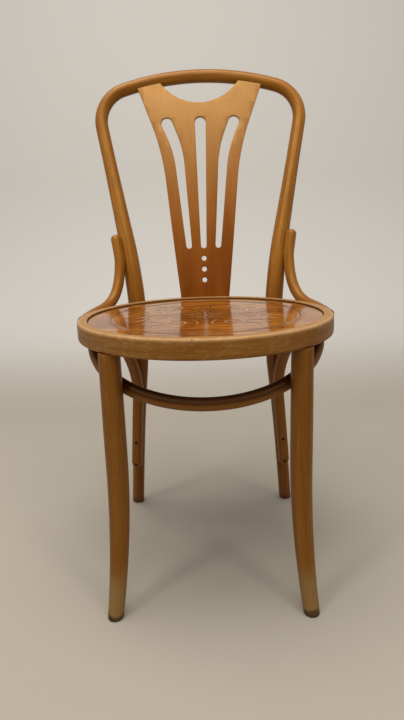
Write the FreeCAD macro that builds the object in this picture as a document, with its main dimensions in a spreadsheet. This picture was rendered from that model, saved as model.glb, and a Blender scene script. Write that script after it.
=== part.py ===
import FreeCAD
import Part

import math
import os

# A bentwood bistro chair. One steam-bent rod is the back hoop and both rear legs. It is bolted
# to an elliptical seat ring that holds a pressed plywood panel and carries two tapered front
# legs. Bent brackets tie the posts to the ring's sides, a bow ties the front legs, and two
# flat brackets tie the rear legs to the ring from below. A pierced fan splat fills the back.
# The chair faces -Y and stands on z = 0. The pieces are laid out about the seat's centre and
# moved at the end, so that the origin is on the floor in the middle of the whole chair.

Vector = FreeCAD.Vector
doc = FreeCAD.newDocument("bistro_chair")

# Driving sizes in millimetres and degrees.
chairSizes = [
    ("seatHeight", 460.0, "floor to the top of the seat ring"),
    ("seatWidth", 422.0, "seat ring, side to side"),
    ("seatDepth", 405.0, "seat ring, front to back"),
    ("ringWidth", 25.0, "seat ring's section, inside to outside"),
    ("ringHeight", 31.0, "seat ring's section, bottom to top"),
    ("ringRound", 4.0, "round on the ring's outer edges"),
    ("ringInnerRound", 1.5, "round on the ring's inner top edge"),
    ("rabbetWidth", 9.0, "ledge inside the ring that carries the panel"),
    ("panelThick", 5.0, "pressed plywood seat panel"),
    ("panelDrop", 3.0, "panel's top below the ring's top"),
    ("panelGap", 0.3, "gap round the panel in its rabbet"),
    ("legSpread", 284.0, "front legs at the ring, centre to centre"),
    ("legTopDia", 33.0, "front leg under the ring"),
    ("legFullDia", 34.5, "front leg where it is thickest"),
    ("legFootDia", 25.0, "front leg at the floor"),
    ("legFullHeight", 290.0, "height of the front leg's thickest place"),
    ("legBendHeight", 250.0, "height where the front leg starts to curve out"),
    ("legKick", 33.0, "how far the front foot stands out"),
    ("legSplay", 26.0, "turn of the front leg's curve towards the side"),
    ("tenonDia", 20.0, "front leg's tenon"),
    ("tenonLength", 18.0, "front leg's tenon into the ring"),
    ("fitGap", 0.1, "clearance of a tenon, bolt or screw in its hole"),
    ("footRound", 2.0, "chamfer round each foot"),
    ("backHeight", 896.5, "floor to the top of the hoop"),
    ("hoopWidth", 414.0, "hoop across its shoulders, outside"),
    ("hoopDia", 25.0, "rod of the hoop"),
    ("postDia", 33.5, "back post at the seat"),
    ("rearFootDia", 25.5, "rear leg at the floor"),
    ("rearFootSpread", 329.0, "rear feet, centre to centre"),
    ("rearSplay", 5.3, "slope of the rear legs, seen from the front"),
    ("sideSlope", 11.3, "slope of the hoop's sides, seen from the front"),
    ("waistRadius", 930.0, "bend between rear leg and hoop side"),
    ("shoulderRadius", 62.0, "bend at the hoop's shoulders"),
    ("crownRadius", 520.0, "bend along the hoop's top"),
    ("sweepRadius", 1570.0, "backward curve of the rear legs, seen from the side"),
    ("kneeRadius", 400.0, "bend of the posts above the seat, seen from the side"),
    ("recline", 16.7, "lean of the back"),
    ("swellStart", 180.0, "height where the rear leg starts to thicken"),
    ("swellEndDrop", 131.5, "place below the back's top where the post is down to the hoop's rod"),
    ("postFlat", 3.0, "depth of the post's seat against the ring"),
    ("armDia", 20.0, "rod of the side brackets"),
    ("armTopRise", 126.0, "top of the side brackets, above the seat"),
    ("armLeaveRise", 80.0, "place above the seat where a side bracket leaves its post"),
    ("armSide", 44.0, "turn from sideways to forward of a bracket on its post"),
    ("armMeetAngle", 29.0, "place on the ring where a side bracket meets it"),
    ("armEndAngle", 11.0, "place on the ring where a side bracket ends"),
    ("armMeetDrop", 6.0, "bracket's centre below the ring's top where it meets it"),
    ("armEndDrop", 17.0, "bracket's centre below the ring's top at its end"),
    ("armBendPull", 48.0, "how gently a side bracket bends"),
    ("armFlat", 0.8, "depth of a side bracket's seats"),
    ("armEndRound", 4.0, "round on a side bracket's ends"),
    ("armScrewRise", 103.0, "screw from a post into its side bracket, above the seat"),
    ("armScrewAngle", 17.0, "place on the ring of the screw into a side bracket"),
    ("bowDia", 21.0, "rod of the front bow"),
    ("bowSpread", 374.0, "front bow's ends, centre to centre"),
    ("bowTilt", 26.5, "slope of the front bow"),
    ("bowDrop", 3.0, "bow's centre below the ring's underside"),
    ("bowFlat", 0.8, "depth of the bow's seats on the front legs"),
    ("bowScrewLean", 22.0, "outward lean of the screws in the bow's ends"),
    ("bowScrewPlace", 3.0, "turn along the bow from its end to the screw"),
    ("strapWidth", 20.5, "rear bracket's strip, across"),
    ("strapThick", 13.0, "rear bracket's strip, through"),
    ("strapRound", 4.5, "round on the strip's front edges"),
    ("strapFootHeight", 100.0, "bottom of the rear brackets"),
    ("strapLeaveHeight", 262.0, "height where a rear bracket leaves its leg"),
    ("strapEndAngle", 27.0, "place on the ring where a rear bracket ends"),
    ("strapTurn", 7.0, "turn of a rear bracket on its leg towards the side"),
    ("strapRise", 50.0, "slope of a rear bracket where it meets the ring"),
    ("strapPull", 70.0, "how gently a rear bracket bends"),
    ("strapFlat", 1.5, "depth of a rear bracket's seat on its leg"),
    ("splatThick", 6.0, "moulded plywood splat"),
    ("splatFootWidth", 91.0, "splat at its foot"),
    ("splatTopWidth", 242.0, "splat at its top corners"),
    ("splatWaistWidth", 152.0, "splat where its sides turn outward"),
    ("splatWaistDrop", 155.5, "place below the back's top where the splat's sides turn outward"),
    ("splatFlareRadius", 447.0, "bend of the splat's sides"),
    ("splatKneeRise", 82.0, "place above the seat where the splat leans back"),
    ("splatKneeRadius", 700.0, "bend of the splat, seen from the side"),
    ("splatLet", 5.0, "splat's top inside the hoop"),
    ("splatForward", 8.0, "splat's middle in front of the hoop's middle"),
    ("splatSeat", 4.5, "depth of the ring's flat behind the seat"),
    ("splatTail", 4.0, "splat's foot above the ring's underside"),
    ("handRadius", 94.0, "hand hold's curve"),
    ("handDepth", 52.0, "hand hold below the hoop's top centre line"),
    ("slotBottomRise", 100.0, "centre of the slots' lower ends, above the seat"),
    ("slotTopDrop", 103.0, "centre of the slots' upper ends, below the back's top"),
    ("slotBottomWidth", 11.0, "slots at their lower ends"),
    ("slotTopWidth", 21.5, "slots at their upper ends"),
    ("slotBottomOffset", 28.8, "outer slots' lower ends from the middle"),
    ("slotWaistOffset", 44.4, "outer slots' bends from the middle"),
    ("slotWaistDrop", 153.5, "outer slots' bends, below the back's top"),
    ("slotTopOffset", 65.6, "outer slots' upper ends from the middle"),
    ("slotBendRadius", 200.0, "outer slots' bends"),
    ("eyeDia", 9.5, "three round holes below the slots"),
    ("eyePitch", 21.0, "spacing of the round holes"),
    ("eyeDrop", 25.0, "uppermost round hole below the slots' lower ends"),
    ("blockLength", 58.0, "corner block along the ring"),
    ("blockDepth", 20.0, "corner block, inside the ring"),
    ("blockHeight", 20.0, "corner block, bottom to top"),
    ("boltDrop", 19.0, "bolts below the seat ring's top"),
    ("boltDia", 6.0, "bolts through post and ring"),
    ("boltHeadDia", 15.0, "bolt's domed head"),
    ("boltHeadHeight", 3.5, "bolt's domed head, height"),
    ("washerDia", 14.0, "washer under the nut"),
    ("washerThick", 1.2, "washer, thickness"),
    ("nutAcross", 10.0, "nut across its flats"),
    ("nutThick", 5.0, "nut, thickness"),
    ("boltSpare", 2.5, "bolt's end past the nut"),
    ("screwDia", 4.0, "wood screws"),
    ("screwHeadDia", 7.6, "wood screw's head"),
    ("screwHeadHeight", 2.4, "wood screw's head, depth"),
    ("screwBite", 14.0, "wood screw in the second piece"),
    ("screwPoint", 4.0, "wood screw's point"),
    ("screwSink", 0.8, "wood screw's head below the wood's surface"),
    ("screwSlot", 1.0, "slot in a wood screw's head"),
    ("screwSlotTurn", 37.0, "turn of the slot from one screw to the next"),
    ("ringScrewLean", 25.0, "backward lean of the screws from the rear brackets into the ring"),
    ("splatScrewPitch", 54.0, "screws at the splat's foot"),
    ("splatScrewDrop", 16.0, "screws at the splat's foot, below the seat ring's top"),
    ("strapScrewLow", 8.0, "lower strip screw above the bracket's foot"),
    ("strapScrewPitch", 54.0, "strip screws, up the leg"),
]

sheet = doc.addObject("Spreadsheet::Sheet", "Sizes")
for row, (alias, value, note) in enumerate(chairSizes, start=1):
    sheet.set("A%d" % row, note)
    sheet.set("B%d" % row, str(value))
    sheet.setAlias("B%d" % row, alias)
doc.recompute()


def size(alias):
    return float(sheet.get(alias))


def half(alias):
    return size(alias) / 2.0


def angle(alias):
    return math.radians(size(alias))


def bind(item, **sizes):
    # Ties properties of one object to cells, such as Height="ringHeight".
    for name, formula in sizes.items():
        item.setExpression(name.replace("__", "."), formula)


# Small helpers for shapes.
def turned(position, along, aside):
    # A placement whose Z runs along the piece and whose X leans towards aside.
    across = along.cross(aside).normalize()
    return FreeCAD.Placement(position, FreeCAD.Rotation(across.cross(along), across, along, "ZXY"))


def mirrored(shape):
    return shape.mirror(Vector(0, 0, 0), Vector(1, 0, 0))


def smoothed(start, end, place):
    # 0 before start, 1 after end, and an even ease between them.
    share = min(max((place - start) / (end - start), 0.0), 1.0)
    return share * share * (3.0 - 2.0 * share)


def roundSection(diameter):
    return Part.Wire(Part.makeCircle(diameter / 2.0))


def bentPiece(line, aside, section):
    # A solid along a smooth line of points. section(i) gives the outline at point i, drawn
    # flat about the origin, and aside is the direction that its X keeps to.
    curve = Part.BSplineCurve()
    curve.interpolate(line)
    outlines = []
    for number, point in enumerate(line):
        along = curve.tangent(curve.parameter(point))[0]
        outline = section(number)
        outline.Placement = turned(point, along, aside)
        outlines.append(outline)
    return Part.makeLoft(outlines, True, False)


# The seat ring is round, drawn out sideways into an ellipse. Its places are given by the angle
# on the round ring, from +X to +Y.
stretch = size("seatWidth") / size("seatDepth")
ringUnder = size("seatHeight") - size("ringHeight")
ringMiddle = size("seatHeight") - half("ringHeight")
boltHeight = size("seatHeight") - size("boltDrop")
splatScrewHeight = size("seatHeight") - size("splatScrewDrop")
armTopHeight = size("seatHeight") + size("armTopRise")
armLeaveHeight = size("seatHeight") + size("armLeaveRise")
armScrewHeight = size("seatHeight") + size("armScrewRise")
splatKneeHeight = size("seatHeight") + size("splatKneeRise")
slotBottomHeight = size("seatHeight") + size("slotBottomRise")
slotWaistHeight = size("backHeight") - size("slotWaistDrop")
slotTopHeight = size("backHeight") - size("slotTopDrop")
splatWaistHeight = size("backHeight") - size("splatWaistDrop")
swellEnd = size("backHeight") - size("swellEndDrop")
ledgeHeight = size("seatHeight") - size("panelDrop") - size("panelThick")


def ringNormal(place):
    normal = Vector(math.cos(place) / half("seatWidth"), math.sin(place) / half("seatDepth"), 0)
    return normal.normalize()


def besideRing(place, outward, height):
    face = Vector(half("seatWidth") * math.cos(place), half("seatDepth") * math.sin(place), height)
    return face + ringNormal(place) * outward


def throughRing(place):
    # How far the ring's inner face lies behind its outer face, straight in from a place.
    inner = half("seatDepth") - size("ringWidth")
    return solved(
        0.0, 2.0 * size("ringWidth"),
        lambda depth: inner - math.hypot(
            besideRing(place, -depth, 0).x / stretch, besideRing(place, -depth, 0).y))


def solved(low, high, error):
    # The value between low and high where error, which rises with it, is nought.
    for step in range(60):
        middle = (low + high) / 2.0
        if error(middle) < 0:
            low = middle
        else:
            high = middle
    return (low + high) / 2.0


# The hoop's outline, seen from the front, is five kinds of bend that run into each other.
hoopHalf = half("hoopWidth") - half("hoopDia")
hoopTop = size("backHeight") - half("hoopDia")
crownCentre = Vector(0, 0, hoopTop - size("crownRadius"))
shoulderX = hoopHalf - size("shoulderRadius")
shoulderRise = math.sqrt((size("crownRadius") - size("shoulderRadius")) ** 2 - shoulderX ** 2)
shoulderCentre = crownCentre + Vector(shoulderX, 0, shoulderRise)
sideUp = Vector(math.sin(angle("sideSlope")), 0, math.cos(angle("sideSlope")))
sideOut = Vector(math.cos(angle("sideSlope")), 0, -math.sin(angle("sideSlope")))
legUp = Vector(-math.sin(angle("rearSplay")), 0, math.cos(angle("rearSplay")))
rearFoot = Vector(half("rearFootSpread"), 0, 0)
sideEnd = shoulderCentre + sideOut * size("shoulderRadius")
crownEnd = crownCentre + (shoulderCentre - crownCentre).normalize() * size("crownRadius")
shoulderTurn = (sideOut + (crownEnd - shoulderCentre).normalize()).normalize()
shoulderMiddle = shoulderCentre + shoulderTurn * size("shoulderRadius")


def waistCorner():
    # Where the rear leg's line would cross the line of the hoop's side.
    between = rearFoot - sideEnd
    reach = (between.z * legUp.x - between.x * legUp.z) / (sideUp.z * legUp.x - sideUp.x * legUp.z)
    return sideEnd + sideUp * reach


waist = waistCorner()
waistTurn = (angle("sideSlope") + angle("rearSplay")) / 2.0
waistReach = size("waistRadius") * math.tan(waistTurn)
waistOut = (sideUp - legUp).normalize()
waistCentre = waist + waistOut * (size("waistRadius") / math.cos(waistTurn))
waistMiddle = waistCentre - waistOut * size("waistRadius")
waistLow = waist - legUp * waistReach
waistHigh = waist + sideUp * waistReach


def postX(height):
    # Middle of the post at a height within the waist's bend.
    return waistCentre.x - math.sqrt(size("waistRadius") ** 2 - (height - waistCentre.z) ** 2)


# Seen from the side, the rear leg curves back to the floor, and the post bends back above the
# seat and then leans in a straight line.
postPlace = solved(
    0.0, math.pi / 2.0,
    lambda place: postX(ringMiddle) - besideRing(place, half("postDia") - size("postFlat"), 0).x)
postY = besideRing(postPlace, half("postDia") - size("postFlat"), 0).y
kneeTop = ringUnder + size("kneeRadius") * math.sin(angle("recline"))
kneeTopY = postY + size("kneeRadius") * (1.0 - math.cos(angle("recline")))


def postDepth(height):
    if height < ringUnder:
        return postY + size("sweepRadius") - math.sqrt(
            size("sweepRadius") ** 2 - (ringUnder - height) ** 2)
    if height < kneeTop:
        return postY + size("kneeRadius") - math.sqrt(
            size("kneeRadius") ** 2 - (height - ringUnder) ** 2)
    return kneeTopY + (height - kneeTop) * math.tan(angle("recline"))


def postWidth(height):
    if height < size("seatHeight"):
        swell = smoothed(size("swellStart"), size("seatHeight"), height)
        return size("rearFootDia") + (size("postDia") - size("rearFootDia")) * swell
    taper = smoothed(size("seatHeight"), swellEnd, height)
    return size("postDia") + (size("hoopDia") - size("postDia")) * taper


def postCentre(height):
    # For a height on the rear leg or in the waist's bend, on the right-hand side.
    if height < waistLow.z:
        across = rearFoot.x - height * math.tan(angle("rearSplay"))
    elif height < waistHigh.z:
        across = postX(height)
    else:
        across = waistHigh.x + (height - waistHigh.z) * math.tan(angle("sideSlope"))
    return Vector(across, postDepth(height), height)


hoopSpan = {"leg": 7, "waist": 9, "side": 6, "shoulder": 9, "crown": 8}


def hoopLine():
    # Middle line of the whole rod, from under the right foot over the top to the left one.
    below = rearFoot - legUp * size("rearFootDia")
    runs = [
        (Part.LineSegment(below, waistLow), hoopSpan["leg"]),
        (Part.Arc(waistLow, waistMiddle, waistHigh), hoopSpan["waist"]),
        (Part.LineSegment(waistHigh, sideEnd), hoopSpan["side"]),
        (Part.Arc(sideEnd, shoulderMiddle, crownEnd), hoopSpan["shoulder"]),
        (Part.Arc(crownEnd, turnedHalfway(crownEnd), Vector(0, 0, hoopTop)), hoopSpan["crown"]),
    ]
    outline = [below]
    for run, count in runs:
        outline += run.discretize(Number=count + 1)[1:]
    right = [Vector(point.x, postDepth(point.z), point.z) for point in outline]
    left = [Vector(-point.x, point.y, point.z) for point in reversed(right[:-1])]
    return right + left


def turnedHalfway(start):
    top = Vector(0, 0, size("crownRadius"))
    return crownCentre + ((start - crownCentre) + top).normalize() * size("crownRadius")


setback = (postDepth(hoopTop) + half("hoopDia") - half("seatDepth")) / 2.0
floorBlock = Part.makeBox(
    size("backHeight"), size("backHeight"), size("rearFootDia") * 2.0,
    Vector(-half("backHeight"), -half("backHeight"), -size("rearFootDia") * 2.0))


def standing(rod):
    # Cuts a leg level with the floor and takes the sharp edge off its foot.
    cut = rod.cut(floorBlock)
    rims = [edge for edge in cut.Edges if edge.BoundBox.ZMax < size("fitGap")]
    return cut.makeChamfer(size("footRound"), rims)


def feature(name, shape):
    item = doc.addObject("Part::Feature", name)
    item.Shape = shape
    return item


# Screws. Each is drawn with its head's face at the origin and its point towards +Z.
def woodScrew(reach, gap):
    head = Part.makeCone(
        half("screwHeadDia") + gap, half("screwDia") + gap, size("screwHeadHeight") + gap)
    shank = Part.makeCylinder(half("screwDia") + gap, reach - size("screwPoint"))
    point = Part.makeCone(
        half("screwDia") + gap, gap, size("screwPoint") + gap,
        Vector(0, 0, reach - size("screwPoint")))
    return head.fuse([shank, point]).removeSplitter()


def slotted(screw):
    slot = Part.makeBox(
        size("screwHeadDia"), size("screwSlot"), 2.0 * size("screwSlot"),
        Vector(-half("screwHeadDia"), -half("screwSlot"), -size("screwSlot")))
    return screw.cut(slot)


def screwHole(reach):
    # The screw's own shape with a gap, open above its head.
    way = Part.makeCylinder(
        half("screwHeadDia") + size("fitGap"), size("screwHeadDia"),
        Vector(0, 0, -size("screwHeadDia")))
    return woodScrew(reach, size("fitGap")).fuse(way).removeSplitter()


class Fastening:
    # One kind of screw in its places, with the holes that it needs.
    def __init__(self):
        self.screws = []
        self.holes = []

    def add(self, position, along, reach):
        # Sinks the head a little below the surface at the position.
        aside = Vector(0, 0, 1) if abs(along.z) < math.cos(angle("screwSlotTurn")) else Vector(0, 1, 0)
        place = turned(position + along * size("screwSink"), along, aside)
        screw = slotted(woodScrew(reach, 0.0))
        turn = size("screwSlotTurn") * (1 + len(self.screws))
        screw.Placement = place * FreeCAD.Placement(Vector(), FreeCAD.Rotation(Vector(0, 0, 1), turn))
        self.screws.append(screw)
        hole = screwHole(reach)
        hole.Placement = place
        self.holes.append(hole)

    def addBothSides(self, position, along, reach):
        self.add(position, along, reach)
        self.add(
            Vector(-position.x, position.y, position.z), Vector(-along.x, along.y, along.z), reach)

    def group(self, name):
        return feature(name, Part.makeCompound(self.screws))


def drawnOut(shape):
    matrix = FreeCAD.Matrix()
    matrix.scale(stretch, 1.0, 1.0)
    return shape.transformGeometry(matrix)


def ellipsePrism(name, inset, bottom, top):
    rim = doc.addObject("Part::Ellipse", name + "_rim")
    bind(rim, MajorRadius="(Sizes.seatDepth / 2 - (%s)) * Sizes.seatWidth / Sizes.seatDepth" % inset,
         MinorRadius="Sizes.seatDepth / 2 - (%s)" % inset)
    bind(rim, Placement__Base__z=bottom)
    prism = doc.addObject("Part::Extrusion", name)
    prism.Base = rim
    prism.DirMode = "Custom"
    prism.Dir = Vector(0, 0, 1)
    prism.Solid = True
    bind(prism, LengthFwd="(%s) - (%s)" % (top, bottom))
    return prism


underside = "Sizes.seatHeight - Sizes.ringHeight"
ledge = "Sizes.seatHeight - Sizes.panelDrop - Sizes.panelThick"


def cutObject(name, base, tool):
    item = doc.addObject("Part::Cut", name)
    item.Base = base
    item.Tool = tool
    return item


def originPlane(body, role):
    return [plane for plane in body.Origin.OriginFeatures if plane.Role == role][0]


def sketchOn(body, name, role, outlines):
    sketch = body.newObject("Sketcher::SketchObject", name)
    sketch.AttachmentSupport = (originPlane(body, role), [""])
    sketch.MapMode = "FlatFace"
    for outline in outlines:
        for piece in outline:
            sketch.addGeometry(piece)
    return sketch


def flatPoint(across, up):
    return Vector(across, up, 0)


def roundedOutline(corners):
    # A closed outline through (point, round) corners. A round of nought leaves a sharp corner.
    points = [point for point, radius in corners]
    starts, ends, arcs = [], [], []
    for number, (point, radius) in enumerate(corners):
        before = points[number - 1]
        after = points[(number + 1) % len(points)]
        start, middle, end = filletPoints(before, point, after, radius)
        starts.append(start)
        ends.append(end)
        arcs.append(Part.ArcOfCircle(start, middle, end) if radius else None)
    outline = []
    for number, arc in enumerate(arcs):
        if arc:
            outline.append(arc)
        outline.append(Part.LineSegment(ends[number], starts[(number + 1) % len(points)]))
    return outline


def filletPoints(before, corner, after, radius):
    # Start, middle and end of the arc that rounds a corner between two straight lines.
    back, ahead = (before - corner).normalize(), (after - corner).normalize()
    opening = back.getAngle(ahead) / 2.0
    reach = radius / math.tan(opening)
    inward = (back + ahead).normalize()
    centre = corner + inward * (radius / math.sin(opening))
    return corner + back * reach, centre - inward * radius, corner + ahead * reach


# Seat ring: a turned hoop with a ledge for the panel, drawn out into an ellipse.
def ringSection():
    outer = half("seatDepth")
    inner = outer - size("ringWidth")
    recess = inner + size("rabbetWidth")
    return roundedOutline([
        (flatPoint(inner, ringUnder), 0.0),
        (flatPoint(outer, ringUnder), size("ringRound")),
        (flatPoint(outer, size("seatHeight")), size("ringRound")),
        (flatPoint(recess, size("seatHeight")), size("ringInnerRound")),
        (flatPoint(recess, ledgeHeight), 0.0),
        (flatPoint(inner, ledgeHeight), 0.0),
    ])


ringBody = doc.addObject("PartDesign::Body", "ring_body")
ringTurned = ringBody.newObject("PartDesign::Revolution", "ring_turned")
ringTurned.Profile = sketchOn(ringBody, "ring_section", "XZ_Plane", [ringSection()])
ringTurned.ReferenceAxis = (ringTurned.Profile[0], ["V_Axis"])
ringTurned.Angle = 360.0
doc.recompute()
ringBlank = drawnOut(ringBody.Shape)


def ringSkin():
    # The ring's outside with a fitting gap, as a solid block to cut seats with.
    gap = size("fitGap")
    outer, low, high = half("seatDepth") + gap, ringUnder - gap, size("seatHeight") + gap
    outline = roundedOutline([
        (Vector(0, 0, low), 0.0), (Vector(outer, 0, low), size("ringRound") + gap),
        (Vector(outer, 0, high), size("ringRound") + gap), (Vector(0, 0, high), 0.0)])
    face = Part.Face(Part.Wire([piece.toShape() for piece in outline]))
    return drawnOut(face.revolve(Vector(), Vector(0, 0, 1), 360.0))


# Front legs: straight and full under the ring, then curved out and thinned to the floor.
ringMidY = half("seatDepth") - half("ringWidth")
ringMidX = ringMidY * stretch
legX = half("legSpread")
legY = -ringMidY * math.sqrt(1.0 - (legX / ringMidX) ** 2)
legOut = Vector(math.sin(angle("legSplay")), -math.cos(angle("legSplay")), 0)
legBend = (size("legBendHeight") ** 2 + size("legKick") ** 2) / (2.0 * size("legKick"))
legStations = 15


def legCentre(height):
    drop = max(size("legBendHeight") - height, 0.0)
    kick = legBend - math.sqrt(legBend ** 2 - drop ** 2)
    return Vector(legX, legY, height) + legOut * kick


def legWidth(height):
    if height < size("legFullHeight"):
        share = math.sin(math.pi / 2.0 * max(height, 0.0) / size("legFullHeight"))
        return size("legFootDia") + (size("legFullDia") - size("legFootDia")) * share
    share = (height - size("legFullHeight")) / (ringUnder - size("legFullHeight"))
    return size("legFullDia") + (size("legTopDia") - size("legFullDia")) * share


def legRod(gap):
    bottom = -half("legFootDia")
    heights = [bottom + (ringUnder - bottom) * step / legStations for step in range(legStations + 1)]
    return bentPiece(
        [legCentre(height) for height in heights], legOut,
        lambda number: roundSection(legWidth(heights[number]) + 2.0 * gap))


def frontLeg():
    tenon = Part.makeCylinder(half("tenonDia"), size("tenonLength"), Vector(legX, legY, ringUnder))
    return standing(legRod(0.0)).fuse(tenon)


tenonHole = Part.makeCylinder(
    half("tenonDia") + size("fitGap"), size("tenonLength") + size("fitGap"),
    Vector(legX, legY, ringUnder))

# Front bow: half an ellipse on a slope, just deep enough to bear on the backs of the front legs.
bowHeight = ringUnder - size("bowDrop")
bowStations = 24
halfTurn = 180.0
legAxis = Part.makeLine(Vector(legX, legY, 0), Vector(legX, legY, ringUnder))


def bowPoint(depth, turn):
    # The middle of the bow, turn degrees forward of its right end.
    place, tilt = math.radians(turn), angle("bowTilt")
    forward = Vector(0, -math.cos(tilt), -math.sin(tilt)) * depth
    return Vector(half("bowSpread") * math.cos(place), 0, bowHeight) + forward * math.sin(place)


def bowLine(depth):
    return [bowPoint(depth, halfTurn * step / bowStations) for step in range(bowStations + 1)]


def bowToLeg(depth):
    # Distance and nearest points of the bow's middle line and the front leg's.
    curve = Part.BSplineCurve()
    curve.interpolate(bowLine(depth))
    return curve.toShape().distToShape(legAxis)


def bowLack(depth):
    # How much nearer to the leg the bow lies than it should.
    distance, places = bowToLeg(depth)[:2]
    contact = legWidth(places[0][1].z) / 2.0 + half("bowDia") - size("bowFlat")
    return contact - distance


bowDepth = solved(half("seatDepth") / 2.0, half("seatDepth"), bowLack)
bowRod = bentPiece(
    bowLine(bowDepth), Vector(0, 0, 1), lambda number: roundSection(size("bowDia")))
aboveRingUnder = Part.makeBox(
    size("seatWidth"), size("seatDepth"), size("ringHeight"),
    Vector(-half("seatWidth"), -half("seatDepth"), ringUnder))

bowLegScrews = Fastening()
bowSide, legSide = bowToLeg(bowDepth)[1][0]
intoLeg = (legSide - bowSide).normalize()
bowLegScrews.addBothSides(
    bowSide - intoLeg * half("bowDia"), intoLeg, size("bowDia") + size("screwBite"))
bowRingScrews = Fastening()
intoRing = Vector(math.sin(angle("bowScrewLean")), 0, math.cos(angle("bowScrewLean")))
bowRingScrews.addBothSides(
    bowPoint(bowDepth, size("bowScrewPlace")) - intoRing * half("bowDia"), intoRing,
    half("bowDia") + size("bowDrop") + size("screwBite"))

# Side brackets: a straight stretch on the post, an open bend, and a stretch along the ring.
armOffset = half("armDia") - size("armFlat")
armStations = {"post": 4, "bend": 8, "ring": 5}


def armOnPost(height):
    reach = postWidth(height) / 2.0 + armOffset
    return postCentre(height) + Vector(
        math.cos(angle("armSide")), -math.sin(angle("armSide")), 0) * reach


def armOnRing(share):
    place = angle("armMeetAngle") + share * (angle("armEndAngle") - angle("armMeetAngle"))
    drop = size("armMeetDrop") + share * (size("armEndDrop") - size("armMeetDrop"))
    return besideRing(place, armOffset, size("seatHeight") - drop)


def bend(start, startPull, endPull, end, count):
    # Points after the start of a smooth curve that leaves and arrives along the two pulls.
    curve = Part.BezierCurve()
    curve.setPoles([start, start + startPull, end - endPull, end])
    return curve.discretize(Number=count + 1)[1:]


def sideBracket():
    top, leave = armTopHeight, armLeaveHeight
    count = armStations["post"]
    line = [armOnPost(top + (leave - top) * step / count) for step in range(count + 1)]
    down = Vector(0, -math.tan(angle("recline")), -1).normalize()
    forward = (armOnRing(1.0 / armStations["ring"]) - armOnRing(0.0)).normalize()
    line += bend(
        line[-1], down * size("armBendPull"), forward * size("armBendPull"), armOnRing(0.0),
        armStations["bend"])
    line += [armOnRing(step / armStations["ring"]) for step in range(1, armStations["ring"] + 1)]
    bar = bentPiece(line, Vector(1, 0, 0), lambda number: roundSection(size("armDia")))
    ends = [
        edge for edge in bar.Edges
        if min((edge.CenterOfMass - point).Length for point in (line[0], line[-1])) < size("fitGap")]
    return bar.makeFillet(size("armEndRound"), ends)


armPostScrews = Fastening()
armAcross = Vector(math.cos(angle("armSide")), -math.sin(angle("armSide")), 0)
postAtArm = postWidth(armScrewHeight)
armPostScrews.addBothSides(
    postCentre(armScrewHeight) - armAcross * postAtArm / 2.0, armAcross,
    postAtArm + size("screwBite"))
armRingScrews = Fastening()
armShare = (size("armMeetAngle") - size("armScrewAngle")) / (size("armMeetAngle") - size("armEndAngle"))
ringAtArm = throughRing(angle("armScrewAngle"))
armRingScrews.addBothSides(
    besideRing(angle("armScrewAngle"), -ringAtArm, armOnRing(armShare).z),
    ringNormal(angle("armScrewAngle")), ringAtArm + size("screwBite"))

# Rear brackets: a strip, flat behind and rounded in front, up the leg's front and then forward
# to the ring's underside.
strapOut = Vector(math.sin(angle("strapTurn")), -math.cos(angle("strapTurn")), 0)
strapEnd = Vector(
    ringMidX * math.cos(angle("strapEndAngle")), ringMidY * math.sin(angle("strapEndAngle")),
    ringUnder)
strapStations = {"leg": 6, "bend": 10}


def strapSection(width, thick, round):
    # Drawn with its flat side towards -X, the side that lies against the leg.
    back, front, side = -thick / 2.0, thick / 2.0, width / 2.0
    corner = round * (1.0 - math.sqrt(0.5))
    edges = [
        Part.LineSegment(Vector(back, -side, 0), Vector(front - round, -side, 0)),
        Part.Arc(
            Vector(front - round, -side, 0), Vector(front - corner, corner - side, 0),
            Vector(front, round - side, 0)),
        Part.LineSegment(Vector(front, round - side, 0), Vector(front, side - round, 0)),
        Part.Arc(
            Vector(front, side - round, 0), Vector(front - corner, side - corner, 0),
            Vector(front - round, side, 0)),
        Part.LineSegment(Vector(front - round, side, 0), Vector(back, side, 0)),
        Part.LineSegment(Vector(back, side, 0), Vector(back, -side, 0)),
    ]
    return Part.Wire([edge.toShape() for edge in edges])


def strapOnLeg(height):
    reach = postWidth(height) / 2.0 + half("strapThick") - size("strapFlat")
    return postCentre(height) + strapOut * reach


strapStart = strapOnLeg(size("strapLeaveHeight"))
strapForward = Vector(strapEnd.x - strapStart.x, strapEnd.y - strapStart.y, 0).normalize()
strapArrive = strapForward * math.cos(angle("strapRise")) + Vector(0, 0, math.sin(angle("strapRise")))


def strapFootCorners(foot, up):
    # What is taken off the strip's lower end to leave it half round.
    wide = size("strapWidth")
    block = Part.makeBox(wide, wide, wide, Vector(-wide / 2.0, -wide / 2.0, -wide))
    end = Part.makeCylinder(wide / 2.0, 2.0 * wide, Vector(-wide, 0, 0), Vector(1, 0, 0))
    corners = block.cut(end)
    corners.Placement = turned(foot + up * wide / 2.0, up, strapOut)
    return corners


def rearBracket():
    bottom, leave = size("strapFootHeight"), size("strapLeaveHeight")
    count = strapStations["leg"]
    line = [strapOnLeg(bottom + (leave - bottom) * step / count) for step in range(count + 1)]
    foot, up = line[0], (line[-1] - line[-2]).normalize()
    line += bend(
        line[-1], up * size("strapPull"), strapArrive * size("strapPull"),
        strapEnd + strapArrive * size("strapThick"), strapStations["bend"])
    strip = bentPiece(
        line, strapForward,
        lambda number: strapSection(size("strapWidth"), size("strapThick"), size("strapRound")))
    return strip.cut([strapFootCorners(foot, up), aboveRingUnder])


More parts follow.
